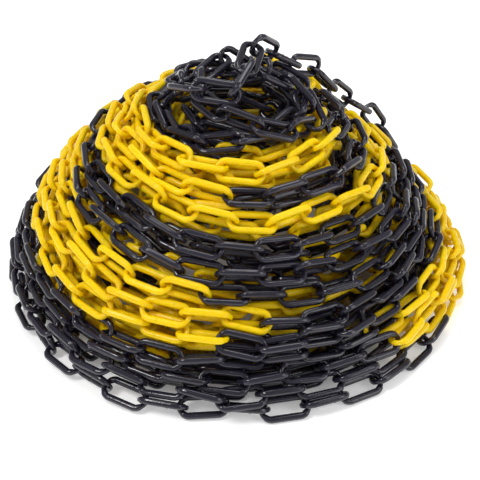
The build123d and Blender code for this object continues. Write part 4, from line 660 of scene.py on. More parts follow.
53.86 -157.92 65.19 2268 9616 1471 486
89.21 -144.45 62.02 9012 3506 1738 1861
118.42 -118.95 60.40 2692 8567 4104 1584
138.45 -88.13 58.48 8430 1244 1515 5009
151.24 -53.28 57.28 2419 7410 5889 2135
153.11 -15.83 56.67 6921 1428 1780 6848
152.78 20.68 59.17 1080 7161 6485 2344
144.41 57.29 63.71 4902 2259 3167 7800
121.64 86.66 65.14 1579 3539 8489 3594
91.11 111.20 66.71 2520 1229 2892 9153
58.26 125.58 68.49 14 1428 9297 3396
26.16 132.03 79.03 539 -2017 -1694 -9632
-7.26 130.87 94.43 1437 -653 -8261 -5410
-41.81 124.70 98.96 1483 -510 -1254 -9796
-77.02 106.83 102.50 1764 2240 -7696 -5713
-108.33 82.80 103.03 3474 125 -1321 -9283
-131.85 51.90 104.49 3171 4153 -6939 -4954
-147.95 17.22 104.19 5687 1489 -1570 -7935
-150.83 -18.79 103.96 2981 6706 -6087 -3015
-143.18 -55.56 102.72 7047 4087 -2249 -5346
-128.81 -91.78 100.15 1343 8445 -5123 -798
-106.48 -121.70 99.89 7491 5185 -1584 -3805
-76.58 -144.09 93.39 2687 9345 -2012 -1182
-42.98 -157.56 88.43 9539 2414 435 -1731
-5.51 -159.41 86.08 4800 8721 948 -80
30.68 -153.59 80.32 9886 456 1222 755
66.72 -142.02 76.01 5601 7994 1818 1190
99.24 -125.55 73.93 9303 774 952 3456
122.16 -95.78 71.43 3323 8182 4346 1768
140.16 -62.04 69.00 7676 2045 1839 5790
145.74 -25.13 68.99 1790 6933 6702 1955
143.27 11.15 72.05 5938 2320 1258 7601
131.48 48.45 74.60 2525 4541 7980 3053
109.80 79.32 78.68 2936 3058 2514 8701
85.53 104.63 83.48 848 3224 9002 2803
54.50 126.52 87.59 2666 1710 2244 9216
25.80 146.05 92.91 42 -2711 -9456 -1796
-11.57 158.65 96.02 457 644 6053 7920
-47.63 159.21 98.04 99 1189 -9862 1146
-83.72 148.19 99.33 1664 1477 -7664 -6027
-115.85 126.23 100.35 198 3802 -9246 -127
-139.74 95.85 100.84 3124 3440 -7130 -5251
-158.31 61.12 102.92 680 -5560 8232 -931
-170.55 24.86 100.91 4282 4406 -5955 -5176
-176.13 -12.62 105.61 537 7186 -6933 -101
-173.76 -50.01 104.96 6529 3655 -2782 -6022
-161.37 -85.57 100.80 1565 8560 -4654 -1617
-138.34 -115.93 96.70 7206 5384 -2045 -3860
-112.79 -146.12 95.97 2038 8908 -3939 -990
-84.92 -171.82 92.54 8328 4519 -582 -3145
-49.83 -187.47 89.68 4304 8909 -810 -1201
-12.72 -195.68 86.18 9345 3437 457 -802
27.03 -193.64 81.89 3334 9355 1152 -185
63.01 -181.71 77.08 8940 3723 1736 1792
97.58 -163.06 73.92 2394 9268 2800 725
128.42 -140.25 74.84 8814 2759 752 3759
150.17 -111.22 74.46 1867 7828 5899 660
161.66 -74.18 72.62 7253 4089 2772 4795
171.40 -35.90 74.19 1131 7490 6430 1131
172.27 1.59 74.09 5500 3147 3685 6802
162.42 38.29 77.53 1893 5674 7596 2553
149.79 73.75 80.52 5390 1911 1296 8101
129.37 106.39 82.82 2269 3633 8235 3719
101.32 131.76 85.61 2149 1759 2667 9229
71.46 151.78 89.09 410 3078 9137 2620
38.02 169.35 92.89 1138 1025 4078 9001
1.09 177.95 95.68 441 -1435 -9028 -4030
-36.22 181.18 100.44 852 -178 -1983 -9763
-73.52 172.77 101.31 1028 1435 -8348 -5215
-108.55 154.63 102.01 2848 831 -3151 -9015
-138.67 129.44 104.10 2471 2964 -7782 -4955
-162.77 100.24 104.76 4459 309 -1015 -8888
-181.30 67.39 105.18 2856 4283 -7142 -4743
-194.22 30.70 105.08 6017 1661 -1936 -7569
-198.86 -6.64 105.70 2838 6432 -6190 -3500
-198.56 -44.89 104.22 7718 1011 -966 -6203
-188.08 -81.42 105.29 3385 7181 -5565 -2450
-174.95 -114.11 103.35 8505 809 -70 -5196
-154.98 -146.95 100.28 5388 7168 -2866 -3373
-131.67 -174.13 96.49 8753 2738 -538 -3949
-102.43 -196.73 93.78 4007 8836 -2106 -1196
-67.37 -212.91 89.99 9429 3059 -129 -1314
-29.18 -216.96 90.26 4716 8806 -197 -421
8.84 -218.11 86.67 9286 3524 777 -868
46.17 -217.85 80.22 4947 8640 932 -83
83.89 -206.59 77.35 9491 2380 615 1968
117.17 -185.47 76.87 4348 8248 3288 1499
146.40 -159.80 76.36 9071 842 517 4091
169.31 -129.36 75.98 4269 7316 4826 2229
184.90 -93.50 75.33 7736 870 535 6254
195.36 -56.23 75.64 3882 6650 5801 2656
199.77 -17.63 74.30 7428 1415 861 6487
198.65 20.03 75.57 2502 5652 7366 2745
190.22 57.29 74.54 5441 1006 1655 8163
173.35 91.91 76.00 1568 4482 8098 3445
152.82 124.52 78.65 4003 1142 1655 8940
123.35 149.34 85.40 257 2828 8314 4776
90.70 168.45 92.71 1891 1421 2049 9498
56.17 178.44 100.09 1006 -1439 -8181 -5476
20.19 179.81 108.95 244 -1390 -2469 -9587
-16.54 174.67 115.99 1000 528 -8669 -4854
-54.44 165.57 117.21 1503 656 -3161 -9344
-88.15 148.87 119.90 1118 2233 -9034 -3485
-120.30 127.07 119.75 3686 983 -2084 -9006
-143.57 98.11 123.73 2387 3521 -8351 -3488
-162.76 67.11 122.74 5376 1435 -1922 -8084
-175.45 32.88 125.76 3003 4680 -7144 -4247
-183.13 -1.42 123.22 5731 3550 -2860 -6810
-181.96 -36.98 124.28 3541 6563 -5684 -3475
-175.18 -72.18 121.41 7819 2778 -1306 -5426
-161.18 -107.14 119.50 4188 7192 -4233 -3580
-142.69 -139.86 115.41 8776 1665 -132 -4493
-117.17 -167.09 113.01 5943 7208 -2386 -2651
-84.69 -189.23 110.88 9702 806 123 -2284
-48.23 -202.46 108.90 6515 7455 -340 -1364
-11.08 -204.34 104.54 9957 694 549 263
23.44 -200.13 99.35 4296 8944 1209 -297
62.56 -190.91 94.25 9365 3139 881 1291
99.46 -179.70 92.54 3309 9208 1961 641
131.97 -157.91 89.99 8827 2730 1528 3507
154.94 -126.25 89.07 2349 8396 4720 1307
176.25 -94.30 90.21 8329 2445 1044 4854
188.02 -56.98 91.17 4719 5768 5711 3443
190.99 -16.70 87.22 7159 852 1182 6829
189.29 21.40 87.61 2280 6543 6553 3009
180.86 60.11 88.40 5124 1818 2765 7924
164.40 92.72 91.65 1079 4628 7841 3992
137.62 118.78 97.21 2825 1648 3537 8763
105.04 139.49 101.66 65 -2335 -9205 -3132
69.90 151.88 107.85 1410 1028 3238 9299
33.01 158.69 111.03 159 -735 -8928 -4441
-5.33 156.00 113.26 1069 -296 -1180 -9868
-43.28 147.97 114.07 364 1591 -8704 -4645
-78.43 131.87 113.80 2470 1170 -3783 -8844
-106.38 107.43 116.72 2253 3117 -8908 -2420
-130.51 79.94 122.26 3953 1156 -2514 -8759
-150.78 46.52 123.57 3404 4353 -7156 -4273
-164.65 11.21 125.39 6223 739 -388 -7783
-166.07 -25.34 122.45 4671 5830 -5396 -3883
-156.09 -62.76 121.47 8261 1202 -41 -5505
-138.39 -95.64 117.29 4006 7575 -4553 -2417
-116.91 -128.28 115.09 8781 2653 -709 -3919
-85.55 -151.73 112.16 3401 9115 -1870 -1363
-52.75 -170.21 106.66 9430 2463 403 -2202
-16.53 -177.77 103.03 5672 8186 610 -660
21.25 -174.43 99.02 9474 3015 1034 301
57.95 -168.37 93.42 3431 9266 1462 -487
92.08 -156.64 88.81 9455 2228 1032 2138
121.43 -131.38 88.38 3804 8316 3472 2077
143.02 -99.66 89.32 8523 1838 1280 4726
154.84 -65.15 86.86 3022 7176 6039 1703
157.12 -25.77 85.78 5892 2743 2397 7212
157.36 11.12 88.79 2424 6589 6445 3028
150.29 49.55 90.78 5280 2284 2386 7824
129.17 81.29 92.21 1815 3586 8664 2964
100.04 105.65 93.48 2184 1776 2355 9302
67.41 121.18 103.08 122 2819 8265 4871
33.94 128.44 105.55 388 139 373 -9985
-2.64 122.86 109.40 1476 -801 -5784 -7983
-41.10 113.67 114.17 1899 -197 1858 -9639
-75.64 98.59 118.00 2277 1230 -6657 -6999
-101.95 74.94 117.90 4723 -214 329 -8806
-119.74 43.51 121.75 3722 3052 -6584 -5786
-137.40 7.56 122.91 5935 591 -451 -8014
-138.95 -28.73 121.05 4396 6089 -5603 -3494
-131.31 -66.06 119.58 8119 2206 -1296 -5247
-110.23 -95.69 115.67 4225 8333 -2841 -2152
-81.32 -119.11 111.47 8455 3837 -101 -3711
-51.11 -138.99 106.88 3486 9118 -1765 -1265
-15.52 -148.33 102.25 9348 3443 755 -437
20.86 -146.16 96.56 2384 9594 1176 -946
54.37 -132.85 90.52 8670 4191 1829 1981
86.55 -111.98 88.34 2418 9238 2940 408
112.33 -91.23 86.82 8647 3239 1689 3449
131.16 -57.71 84.64 2190 7414 6242 1131
136.57 -19.50 83.12 6528 2332 1968 6933
131.58 17.52 84.21 1837 5476 7727 2632
116.09 52.19 88.55 4534 2136 1366 8545
93.70 79.28 92.87 1618 3253 7876 4977
64.37 98.00 98.27 2075 1673 846 9601
36.06 105.44 108.50 1196 -1089 -8940 -4178
1.53 105.07 120.64 842 -743 -4178 -9016
-34.33 100.11 123.39 563 936 -9651 -2379
-65.47 86.74 128.61 2952 457 -4407 -8465
-90.72 63.96 133.50 1977 3636 -8790 -2369
-109.03 33.54 135.09 4868 3207 -5073 -6347
-121.94 -0.38 137.80 941 6234 -7761 -116
-120.02 -37.58 139.14 6718 3602 -2769 -5851
-108.03 -70.86 135.33 559 8939 -4377 -794
-80.97 -97.04 131.47 7075 6033 -1197 -3482
-53.75 -119.95 125.70 1617 9558 -2318 -805
-20.54 -130.21 122.40 9334 3461 279 -905
14.90 -132.30 116.18 4740 8796 341 -224
48.83 -122.08 110.61 9403 2150 1358 2260
81.47 -102.60 107.84 5368 7955 2645 955
107.96 -76.80 104.84 8520 1861 1576 4632
118.50 -41.69 101.12 2947 6955 6185 2166
118.81 -5.18 100.98 5974 1336 1561 7752
106.80 32.10 100.51 3197 4598 6562 5058
91.63 66.29 107.22 4765 1200 101 8709
66.59 90.50 113.08 1404 2292 5535 7883
39.87 112.04 123.13 4254 1436 362 8928
7.00 130.41 127.47 1030 529 7420 6604
-31.87 131.76 125.84 797 -192 -329 -9961
-67.61 121.76 129.19 2120 929 -7535 -6154
-97.83 103.18 132.88 3614 -75 -652 -9301
-116.98 72.89 133.99 2558 4645 -7344 -4236
-132.59 37.79 136.89 5001 2393 -3616 -7496
-143.56 2.46 137.42 1854 6511 -7164 -1687
-144.01 -35.23 137.66 7097 3143 -2705 -5695
-135.16 -72.29 136.79 2012 8172 -5094 -1795
-114.22 -102.31 133.59 8158 4336 -1082 -3670
-86.46 -129.73 130.92 3340 8572 -3415 -1926
-56.70 -152.09 128.24 8640 4280 -415 -2619
-21.89 -163.17 122.97 3682 9157 -141 -1603
13.71 -166.28 116.29 9543 2837 924 -177
49.73 -157.40 111.78 4815 8383 2557 -70
82.18 -139.30 106.08 9078 3100 1803 2175
112.27 -117.32 104.13 4917 7885 3208 1831
134.18 -86.57 103.74 8386 1625 1010 5100
145.48 -49.55 103.45 3773 6429 6063 2768
146.89 -10.25 101.53 6413 1517 1776 7309
134.51 26.47 102.06 2829 4858 7258 3965
120.72 63.75 104.22 5535 2008 1613 7920
103.35 95.13 112.15 732 4066 7762 4762
76.32 120.45 118.07 2768 1658 2064 9237
43.54 137.14 122.43 552 1887 9278 3170
8.51 149.73 124.39 1294 704 1724 9740
-28.64 153.27 132.20 1217 23 -8387 -5309
-64.97 146.37 131.25 1367 773 -574 -9859
-98.09 128.40 133.41 2387 1383 -8519 -4453
-124.01 104.42 135.39 5090 847 -2561 -8174
-144.23 71.64 139.49 1837 4929 -8211 -2217
-160.19 37.56 140.04 5698 2255 -2877 -7360
-164.66 1.65 141.56 2963 5953 -6561 -3568
-165.89 -35.07 139.09 7567 1352 -1178 -6287
-159.04 -69.53 139.88 3041 6952 -5929 -2695
-147.89 -104.22 135.33 8053 3371 -1703 -4569
-126.45 -130.46 136.45 3964 8411 -2628 -2576
-101.92 -157.20 130.23 8822 2903 -325 -3694
-71.07 -179.50 126.06 4549 8545 -1342 -2117
-35.50 -190.68 121.55 9336 3442 176 -982
4.25 -192.89 119.17 4623 8849 494 -271
42.18 -186.28 114.74 9584 2485 894 1080
75.49 -170.98 111.69 5206 7938 3135 234
106.60 -149.47 107.18 9020 2967 1375 2821
135.56 -123.67 106.16 3300 8832 3145 1106
161.97 -95.85 105.11 8492 2198 1115 4671
175.01 -58.99 103.96 4382 6146 5741 3172
178.49 -19.73 99.89 7379 884 1230 6577
177.76 18.74 102.07 2691 5920 6430 4047
164.50 53.59 103.73 5267 555 883 8437
145.72 87.62 106.66 2262 4329 6323 6014
123.88 116.22 113.52 3245 875 866 9379
96.20 132.92 122.04 758 -2800 -8447 -4499
60.65 142.52 131.51 469 1581 2804 9456
23.24 145.61 140.18 627 -839 -9428 -3166
-16.08 143.27 141.69 683 703 -3616 -9272
-51.81 133.19 144.14 1167 1787 -9673 -1371
-85.96 118.00 148.48 2702 790 -5265 -8022
-112.76 92.84 151.71 524 4221 -8937 -1429
-134.12 60.23 151.76 4191 3289 -5119 -6739
-148.00 27.29 152.92 2015 6018 -7436 -2104
-151.37 -9.21 155.74 6201 2223 -2954 -6920
-151.20 -45.37 153.65 2478 7311 -5864 -2454
-140.28 -77.66 152.53 8095 3054 -1823 -4672
-122.59 -108.95 151.87 4220 7862 -3778 -2472
-98.01 -135.39 150.37 8542 3665 -636 -3633
-68.91 -157.98 147.68 3904 8692 -2131 -2161
-36.04 -174.74 141.96 9285 3437 110 -1400
2.31 -178.99 138.79 4765 8727 827 -668
39.15 -171.69 134.22 8973 4056 1268 1194
72.39 -153.56 130.15 3529 8739 3338 171
102.00 -130.84 125.82 9012 2964 1594 2730
130.94 -104.95 123.64 3756 8256 4000 1317
150.31 -71.57 122.18 7374 3558 2597 5121
159.15 -34.99 123.29 2886 6928 6326 1912
160.58 4.57 119.90 6086 2870 3077 6727
150.24 40.81 121.92 801 5606 8130 1355
133.88 76.33 121.73 3897 3079 5506 6710
108.86 103.49 127.57 582 -3304 -9395 -698
76.18 118.30 135.05 467 -1822 -4516 -8722
38.54 118.63 139.54 113 930 -9474 -3061
-1.31 115.11 139.37 111 54 3470 9378
-38.33 109.10 140.43 693 860 -9138 -3909
-73.77 97.58 142.32 2201 -152 -1092 -9692
-103.61 76.06 147.54 3271 2560 -7472 -5188
-121.08 44.57 151.72 6318 -290 724 -7712
-127.65 9.23 150.77 3201 5595 -6622 -3820
-131.12 -27.93 152.83 7460 66 -300 -6652
-124.10 -64.82 153.91 4529 6781 -4789 -3252
-102.46 -96.58 150.04 9366 1264 306 -3253
-70.45 -117.68 144.96 5696 7661 -2317 -1867
-37.80 -136.20 140.58 9609 191 341 -2742
-1.54 -146.64 138.11 6304 7729 -156 -707
36.47 -144.10 134.87 9752 1833 768 972
70.75 -129.83 130.16 4902 8077 3156 876
96.92 -104.69 123.88 8926 1999 2279 3338
121.56 -77.33 121.13 3660 8310 3694 1975
134.41 -43.90 119.74 7112 2331 1745 6399
133.51 -5.06 120.06 3497 5379 6531 4023
123.35 30.17 119.77 4852 2626 3639 7505
101.81 60.52 123.97 716 4233 8652 2590
76.45 83.03 126.84 2061 1960 2715 9195
41.43 89.57 132.69 76 -298 9323 3604
3.20 85.81 134.69 843 -686 -4430 -8899
-35.62 78.64 140.04 720 1518 -9524 -2542
-71.66 63.83 141.65 2559 731 -4847 -8332
-91.08 36.54 146.30 1045 6304 -7565 -1392
-100.00 -0.11 146.76 5286 3511 -3997 -6614
-102.40 -30.57 148.80 1446 7716 -5922 -1820
-89.70 -64.23 147.64 7740 4056 -2254 -4308
-68.81 -91.17 148.05 2005 9218 -2824 -1742
-36.09 -109.16 141.36 7194 6662 -296 -1942
-2.15 -117.37 137.23 2135 9702 -5 -1148
33.60 -112.43 132.19 8584 4852 1327 1006
65.51 -94.04 129.04 2977 8704 3906 341
89.81 -67.04 124.51 8490 3115 2380 3544
105.94 -35.24 120.34 2129 7351 6271 1451
103.82 0.48 119.62 5607 2664 3291 7116
89.24 30.12 120.78 648 4373 8597 2560
65.17 52.93 125.90 1223 3299 3529 8670
38.93 63.76 140.04 1659 -2318 -8746 -3922
6.97 67.38 148.15 550 -759 -5167 -8510
-29.12 63.80 153.07 821 808 -9888 -952
-56.58 44.77 155.28 4124 1431 -3986 -8066
-77.45 15.05 158.39 1477 4575 -8682 -1228
-84.74 -18.22 160.25 5432 3383 -3943 -6596
-78.61 -52.78 161.92 476 8635 -5015 -243
-56.19 -81.03 160.28 6068 6535 -2151 -3981
-26.52 -101.09 157.39 1470 9832 -835 -685
11.28 -98.55 151.55 7801 6196 846 180
40.40 -86.59 149.85 163 9369 3442 -584
65.12 -64.43 146.80 6399 6387 3912 1722
81.45 -34.72 139.89 626 7780 6161 -1057
86.58 1.98 134.39 4888 5058 4879 5170
80.92 38.62 141.73 360 5681 8023 1794
60.65 68.53 142.43 2928 2139 5145 7771
32.73 90.17 146.66 661 -1888 -9724 -1200
-3.96 97.28 148.96 89 369 5337 8448
-37.37 94.37 154.40 734 1643 -9813 -683
-66.06 74.28 157.13 3230 1915 -5063 -7763
-89.93 44.61 160.05 718 4486 -8813 -1299
-106.53 12.68 162.24 5641 1241 -2951 -7611
-111.34 -24.84 167.30 2603 6360 -6890 -2305
-102.92 -62.30 163.89 6696 5112 -2558 -4742
-82.25 -93.61 162.18 1220 8863 -4386 -846
-54.32 -117.54 158.67 7836 5593 -1002 -2513
-21.03 -133.01 158.05 2767 9546 -1087 -203
16.00 -129.84 154.11 8583 4734 1461 1338
49.36 -117.45 148.99 2706 9344 2315 118
78.69 -97.51 146.37 8434 3895 1977 3130
98.79 -66.08 144.45 2738 7862 5431 1093
107.96 -31.35 139.96 7173 1738 2483 6274
107.16 6.01 139.06 1514 6834 6915 1782
101.25 42.47 141.96 4986 2906 3594 7333
83.78 75.47 144.01 669 4828 8489 2044
56.57 100.87 147.42 2822 1773 3372 8804
25.61 120.77 152.17 318 -1863 -9702 -1519
-13.27 124.24 155.13 610 -116 -5730 -8172
-49.53 115.30 161.08 818 1987 -9018 -3749
-81.94 96.15 161.16 2816 179 -1303 -9505
-106.89 71.80 164.36 1956 3971 -8557 -2682
-123.37 37.66 166.58 5329 1102 -2069 -8131
-130.47 6.53 170.65 3145 5892 -6275 -4004
-134.26 -28.40 169.67 6978 -215 106 -7159
-126.07 -59.83 169.21 3787 7309 -5060 -2576
-111.63 -93.29 168.64 8837 1333 -446 -4464
-85.99 -118.73 169.39 5535 7463 -2571 -2658
-58.42 -143.26 163.29 9377 1784 -263 -2970
-22.57 -156.41 161.48 5396 8330 -332 -1175
14.62 -156.47 153.54 9828 1448 937 663
49.29 -145.55 151.49 5137 8224 1923 1505
81.70 -127.09 148.89 9258 2102 929 3000
113.35 -103.20 146.53 4481 8226 3345 1030
136.26 -73.37 144.43 7709 3366 2308 4890
145.51 -36.32 142.75 2520 6931 6405 2140
144.09 2.65 140.33 5971 2222 3157 7032
130.89 39.97 140.88 1458 5045 7893 3181
108.01 71.91 147.37 2946 2403 2540 8894
87.08 85.66 156.22 1886 -4632 -7661 -4037
54.74 98.68 166.42 1107 603 2856 9500
14.77 104.48 168.57 12 289 9021 4305
-25.81 104.38 168.42 268 93 -3628 -9315
-63.17 95.34 171.89 1295 2097 -9104 -3322
-91.12 73.20 175.00 4184 737 -2082 -8810
-108.47 39.93 179.89 2821 5041 -7790 -2438
-115.01 3.91 185.06 6186 2610 -2722 -6893
-116.26 -27.95 184.40 2800 6092 -7175 -1889
-107.62 -62.90 183.81 8063 3393 -2074 -4379
-89.44 -93.36 181.78 3366 8367 -3363 -2714
-63.08 -119.35 176.99 9395 994 -272 -3267
-28.36 -135.14 175.69 5831 8008 -99 -1369
11.25 -137.97 169.69 9942 845 520 425
46.95 -125.26 168.98 4966 8423 1708 1211
82.59 -108.38 168.25 9293 2574 852 2509
109.59 -82.83 165.90 4457 7455 4769 1351
122.77 -48.42 160.94 7506 2181 2251 5816
124.63 -9.88 160.97 1951 6184 7164 2575
113.02 28.00 160.60 4781 2708 4565 6998
90.92 57.57 160.94 91 3076 9404 1448
56.18 74.03 162.26 1842 950 4305 8785
18.70 79.47 164.74 89 230 -9798 -1984
-21.69 76.02 166.19 813 -25 -5018 -8612
-58.35 65.36 171.42 1637 1724 -9387 -2497
-82.34 41.46 174.56 5478 890 -1572 -8169
-91.74 4.38 175.03 2357 5612 -7384 -2904
-93.27 -32.49 172.77 7351 1757 -1378 -6401
-80.07 -65.46 177.62 5042 6724 -4720 -2662
-54.45 -89.58 174.72 9479 2516 -58 -1953
-21.54 -103.55 172.31 4994 8210 -2453 -1279
11.90 -111.83 171.23 9940 869 517 425
45.92 -99.72 167.52 5504 7705 3057 997
73.94 -76.56 164.39 9175 1155 1175 3619
92.14 -49.22 162.66 4931 6618 4860 2875
96.05 -13.94 161.17 6385 874 1507 7496
80.68 19.51 159.19 2564 3905 7615 4493
53.15 42.01 161.95 1812 1309 1022 9693
17.66 47.86 165.46 220 275 -8308 -5554
-20.19 43.33 167.51 1258 -642 -2478 -9585
-49.80 26.28 170.67 1410 3964 -8416 -3387
-64.98 -5.25 170.74 5997 2482 -3300 -6855
-62.48 -36.83 169.94 474 8454 -5146 -1352
-41.32 -64.65 169.23 8059 4854 -2190 -2587
-11.17 -79.80 166.71 336 9966 -492 -569
22.75 -71.94 164.21 8022 5464 1837 1556
54.86 -51.53 161.81 332 9388 3414 319
61.73 -19.93 163.06 5468 3102 3851 6756
44.57 10.34 169.33 440 -4018 -8486 -3412
16.90 25.20 179.16 828 1698 2775 9420
-14.25 23.47 188.09 1764 1342 -9217 -3182
-39.28 2.36 189.35 4415 2207 -4050 -7697
-43.62 -30.11 191.78 3349 7647 -4949 -2410
-19.27 -52.31 187.79 9606 2323 327 -1490
9.44 -53.90 184.37 4359 8779 1675 -1064
36.58 -38.22 180.37 7966 3908 1277 4431
51.23 -6.02 184.34 1652 7509 5991 2233
43.11 28.88 184.12 3747 2248 4053 8030
15.27 49.07 185.02 193 1641 9585 2324
-21.10 51.35 184.94 714 511 -3839 -9192
-53.25 34.15 189.61 1734 4034 -8836 -1625
-72.32 3.59 194.73 4332 2637 -3925 -7673
-75.30 -29.63 191.08 3348 7501 -4156 -3907
-59.35 -58.22 187.91 8500 3235 -3562 -2145
-32.94 -77.43 189.36 539 -9744 1657 1418
0.97 -84.87 181.77 8679 4903 152 -777
37.34 -76.16 181.08 1654 9377 3042 295
64.29 -47.58 178.95 7392 4628 2512 4200
80.22 -15.81 181.21 975 7750 6128 1197
80.44 22.97 185.38 4538 4448 4170 6499
68.11 57.74 186.98 1215 5411 8313 362
44.32 82.77 189.89 601 2811 5679 7713
10.96 89.52 188.89 1078 -961 9802 1352
-27.44 80.04 186.20 1847 296 -5609 -8065
-63.52 62.69 190.05 872 2755 -9280 -2350
-89.39 35.28 189.15 4810 2159 -3707 -7646
-98.47 -0.41 191.95 2492 5896 -7170 -2760
-97.14 -37.73 191.73 6368 4419 -3415 -5316
-83.82 -71.62 195.35 1847 8377 -5074 -813
-63.80 -96.26 193.61 8617 3831 -1249 -3086
-33.26 -112.17 191.93 1439 9849 -220 -933
3.08 -118.03 185.97 9165 3965 307 -424
38.43 -108.06 184.46 3518 8931 2586 1084
68.67 -86.14 183.37 8351 3736 1537 3733
88.55 -54.29 182.76 2929 8058 4972 1330
104.77 -21.65 179.21 7928 2113 2269 5247
99.55 13.15 181.96 3002 4074 6203 5993
78.98 45.12 180.78 5176 -606 736 8503
52.06 65.38 182.53 682 2705 7577 5900
24.85 79.32 187.78 554 2297 3404 9101
11.32 62.48 206.06 6281 2147 -4848 -5695
-14.14 60.76 203.48 72 978 -2996 -9490
-47.53 48.39 204.27 1573 2918 -8742 -3548
-73.19 21.52 200.92 4534 2334 -2501 -8230
-81.44 -11.53 195.18 15 -7664 6322 1138
-72.05 -45.80 192.26 7410 3546 -2598 -5076
-49.25 -72.76 195.93 4246 8464 -3015 -1118
-16.00 -87.10 199.30 9777 2012 -604 87
16.89 -80.90 200.68 2464 9358 2516 160
43.80 -55.85 199.92 6656 6150 2185 3620
61.29 -24.95 206.10 2110 7022 6606 1611
58.73 11.53 206.56 5786 1733 1282 7866
54.04 24.57 209.48 917 -2465 -8047 -5323
34.74 28.66 212.52 983 875 4629 8766
1.32 29.48 224.13 3160 -922 -8375 -4361
-25.96 10.85 230.21 4639 334 770 -8819
-36.45 -24.36 225.95 4452 5447 -4634 -5388
-25.83 -57.68 222.75 8941 942 112 -4378
3.32 -77.14 219.62 5578 8102 -274 -1780
36.64 -80.13 210.03 9757 1210 1715 625
64.26 -58.08 198.84 6109 6263 4604 1501
73.79 -30.96 204.48 4824 2379 -2420 8075
60.71 -20.65 216.48 70 4083 5915 6953
38.02 -13.44 231.29 1995 -3058 82 -9309
19.93 -1.97 232.15 4065 2501 8146 3295
1.25 19.18 221.80 3052 -1534 480 9386
-31.62 22.77 218.28 1035 660 -8717 -4744
-56.70 4.82 221.92 5453 -540 -880 -8319
-58.90 -24.52 229.45 6837 3394 -5630 -3169
-49.32 -50.14 240.13 8726 -1945 -893 -4390
-21.02 -61.20 241.02 8706 4856 610 -508
4.22 -44.31 246.72 3227 7707 4150 3600
12.23 -17.94 254.72 1722 -7602 -6263 120
28.18 13.67 250.69 5928 -6169 -529 5149
48.88 34.73 228.23 9003 -1184 2731 3177
72.96 54.61 209.90 7014 6032 3600 1209
95.36 71.57 184.39 1752 8640 2782 -3813
117.66 88.58 156.56 5138 -7117 -81 4789
141.30 108.46 130.16 8929 -1165 3058 3093
165.24 124.72 102.42 6894 5212 4844 -1360
184.81 135.39 68.60 1971 8424 2297 -4458
"""
# The pieces, in order along the chain: single links at both ends and runs of one colour
FLOOR_END_LINKS, TOP_END_LINKS = 7, 9
BLACK, YELLOW = "black", "yellow"
RUNS = [  # number of links, colour
    (21, BLACK), (18, YELLOW), (17, BLACK), (28, YELLOW), (27, BLACK), (33, YELLOW),
    (22, BLACK), (22, BLACK), (19, YELLOW), (19, BLACK), (30, YELLOW), (19, BLACK),
    (18, YELLOW), (21, BLACK), (33, YELLOW), (19, BLACK), (19, BLACK), (32, YELLOW),
    (9, BLACK), (26, YELLOW), (25, BLACK), (32, YELLOW), (20, BLACK), (35, YELLOW),
    (16, BLACK), (15, YELLOW), (11, BLACK), (19, YELLOW), (30, BLACK), (16, YELLOW),
    (26, BLACK), (19, YELLOW), (21, BLACK), (20, BLACK), (23, YELLOW), (25, BLACK),
    (24, YELLOW), (14, BLACK), (30, YELLOW), (14, BLACK), (21, YELLOW), (17, BLACK),
    (20, YELLOW), (37, BLACK)]


def chain_pieces():
    """Name, body it rides on, number of links and colour of every piece."""
    floor_end = [f"floor_end_link_{n + 1:02d}" for n in range(FLOOR_END_LINKS)]
    top_end = [f"top_end_link_{n + 1:02d}" for n in range(TOP_END_LINKS)]
    runs = [(f"chain_run_{n:02d}_{colour}", "coiled_heap", count, colour)
            for n, (count, colour) in enumerate(RUNS, 1)]
    return ([(name, name, 1, BLACK) for name in floor_end] + runs
            + [(name, name, 1, BLACK) for name in top_end])


def rotation_matrices(quaternions):
    w, x, y, z = (quaternions / np.linalg.norm(quaternions, axis=1, keepdims=True)).T
    rows = [(1 - 2 * (y * y + z * z), 2 * (x * y - z * w), 2 * (x * z + y * w)),
            (2 * (x * y + z * w), 1 - 2 * (x * x + z * z), 2 * (y * z - x * w)),
            (2 * (x * z - y * w), 2 * (y * z + x * w), 1 - 2 * (x * x + y * y))]
    return np.stack([np.stack(row, 1) for row in rows], 1)


LAY = np.array(LINKS.split(), float).reshape(-1, 7)
CENTRES = LAY[:, :3]
TURNS = rotation_matrices(LAY[:, 3:] / 10000)
SHAPE, FACES = link_shape()
FACE_SIZES = np.array([len(face) for face in FACES], np.int32)
FACE_CORNERS = np.concatenate([np.array(face, np.int32) for face in FACES])
OWN_SPREAD = 400  # range of the random shifts that set the links' marks apart

rng = np.random.default_rng(11)
TONES = rng.random(len(LAY))


def build(name, first, count):
    """One mesh of count links, from link number first on."""
    ids = range(first, first + count)
    vertices = np.concatenate([(SHAPE @ TURNS[i].T + CENTRES[i]) / 1000.0 for i in ids])
    corners = np.concatenate([FACE_CORNERS + len(SHAPE) * j for j in range(count)])
    sizes = np.tile(FACE_SIZES, count)
    starts = np.concatenate([[0], np.cumsum(sizes)[:-1]])

    mesh = bpy.data.meshes.new(name)
    mesh.vertices.add(len(vertices))
    mesh.vertices.foreach_set("co", vertices.astype(np.float32).ravel())
    mesh.loops.add(len(corners))
    mesh.loops.foreach_set("vertex_index", corners.astype(np.int32))
    mesh.polygons.add(len(sizes))
    mesh.polygons.foreach_set("loop_start", starts.astype(np.int32))
    mesh.polygons.foreach_set("loop_total", sizes)
    mesh.polygons.foreach_set("use_smooth", np.ones(len(sizes), bool))

    tone = mesh.attributes.new("tone", "FLOAT", "POINT")
    tones = np.repeat(TONES[first:first + count], len(SHAPE))
    tone.data.foreach_set("value", tones.astype(np.float32))
    # a link's own coordinates, so that the plastic's marks follow each moulding
    own = mesh.attributes.new("own", "FLOAT_VECTOR", "POINT")
    places = np.concatenate([SHAPE + shift for shift in rng.random((count, 3)) * OWN_SPREAD])
    own.data.foreach_set("vector", places.astype(np.float32).ravel())
    mesh.update()
    mesh.validate()
    return add_object(name, mesh)


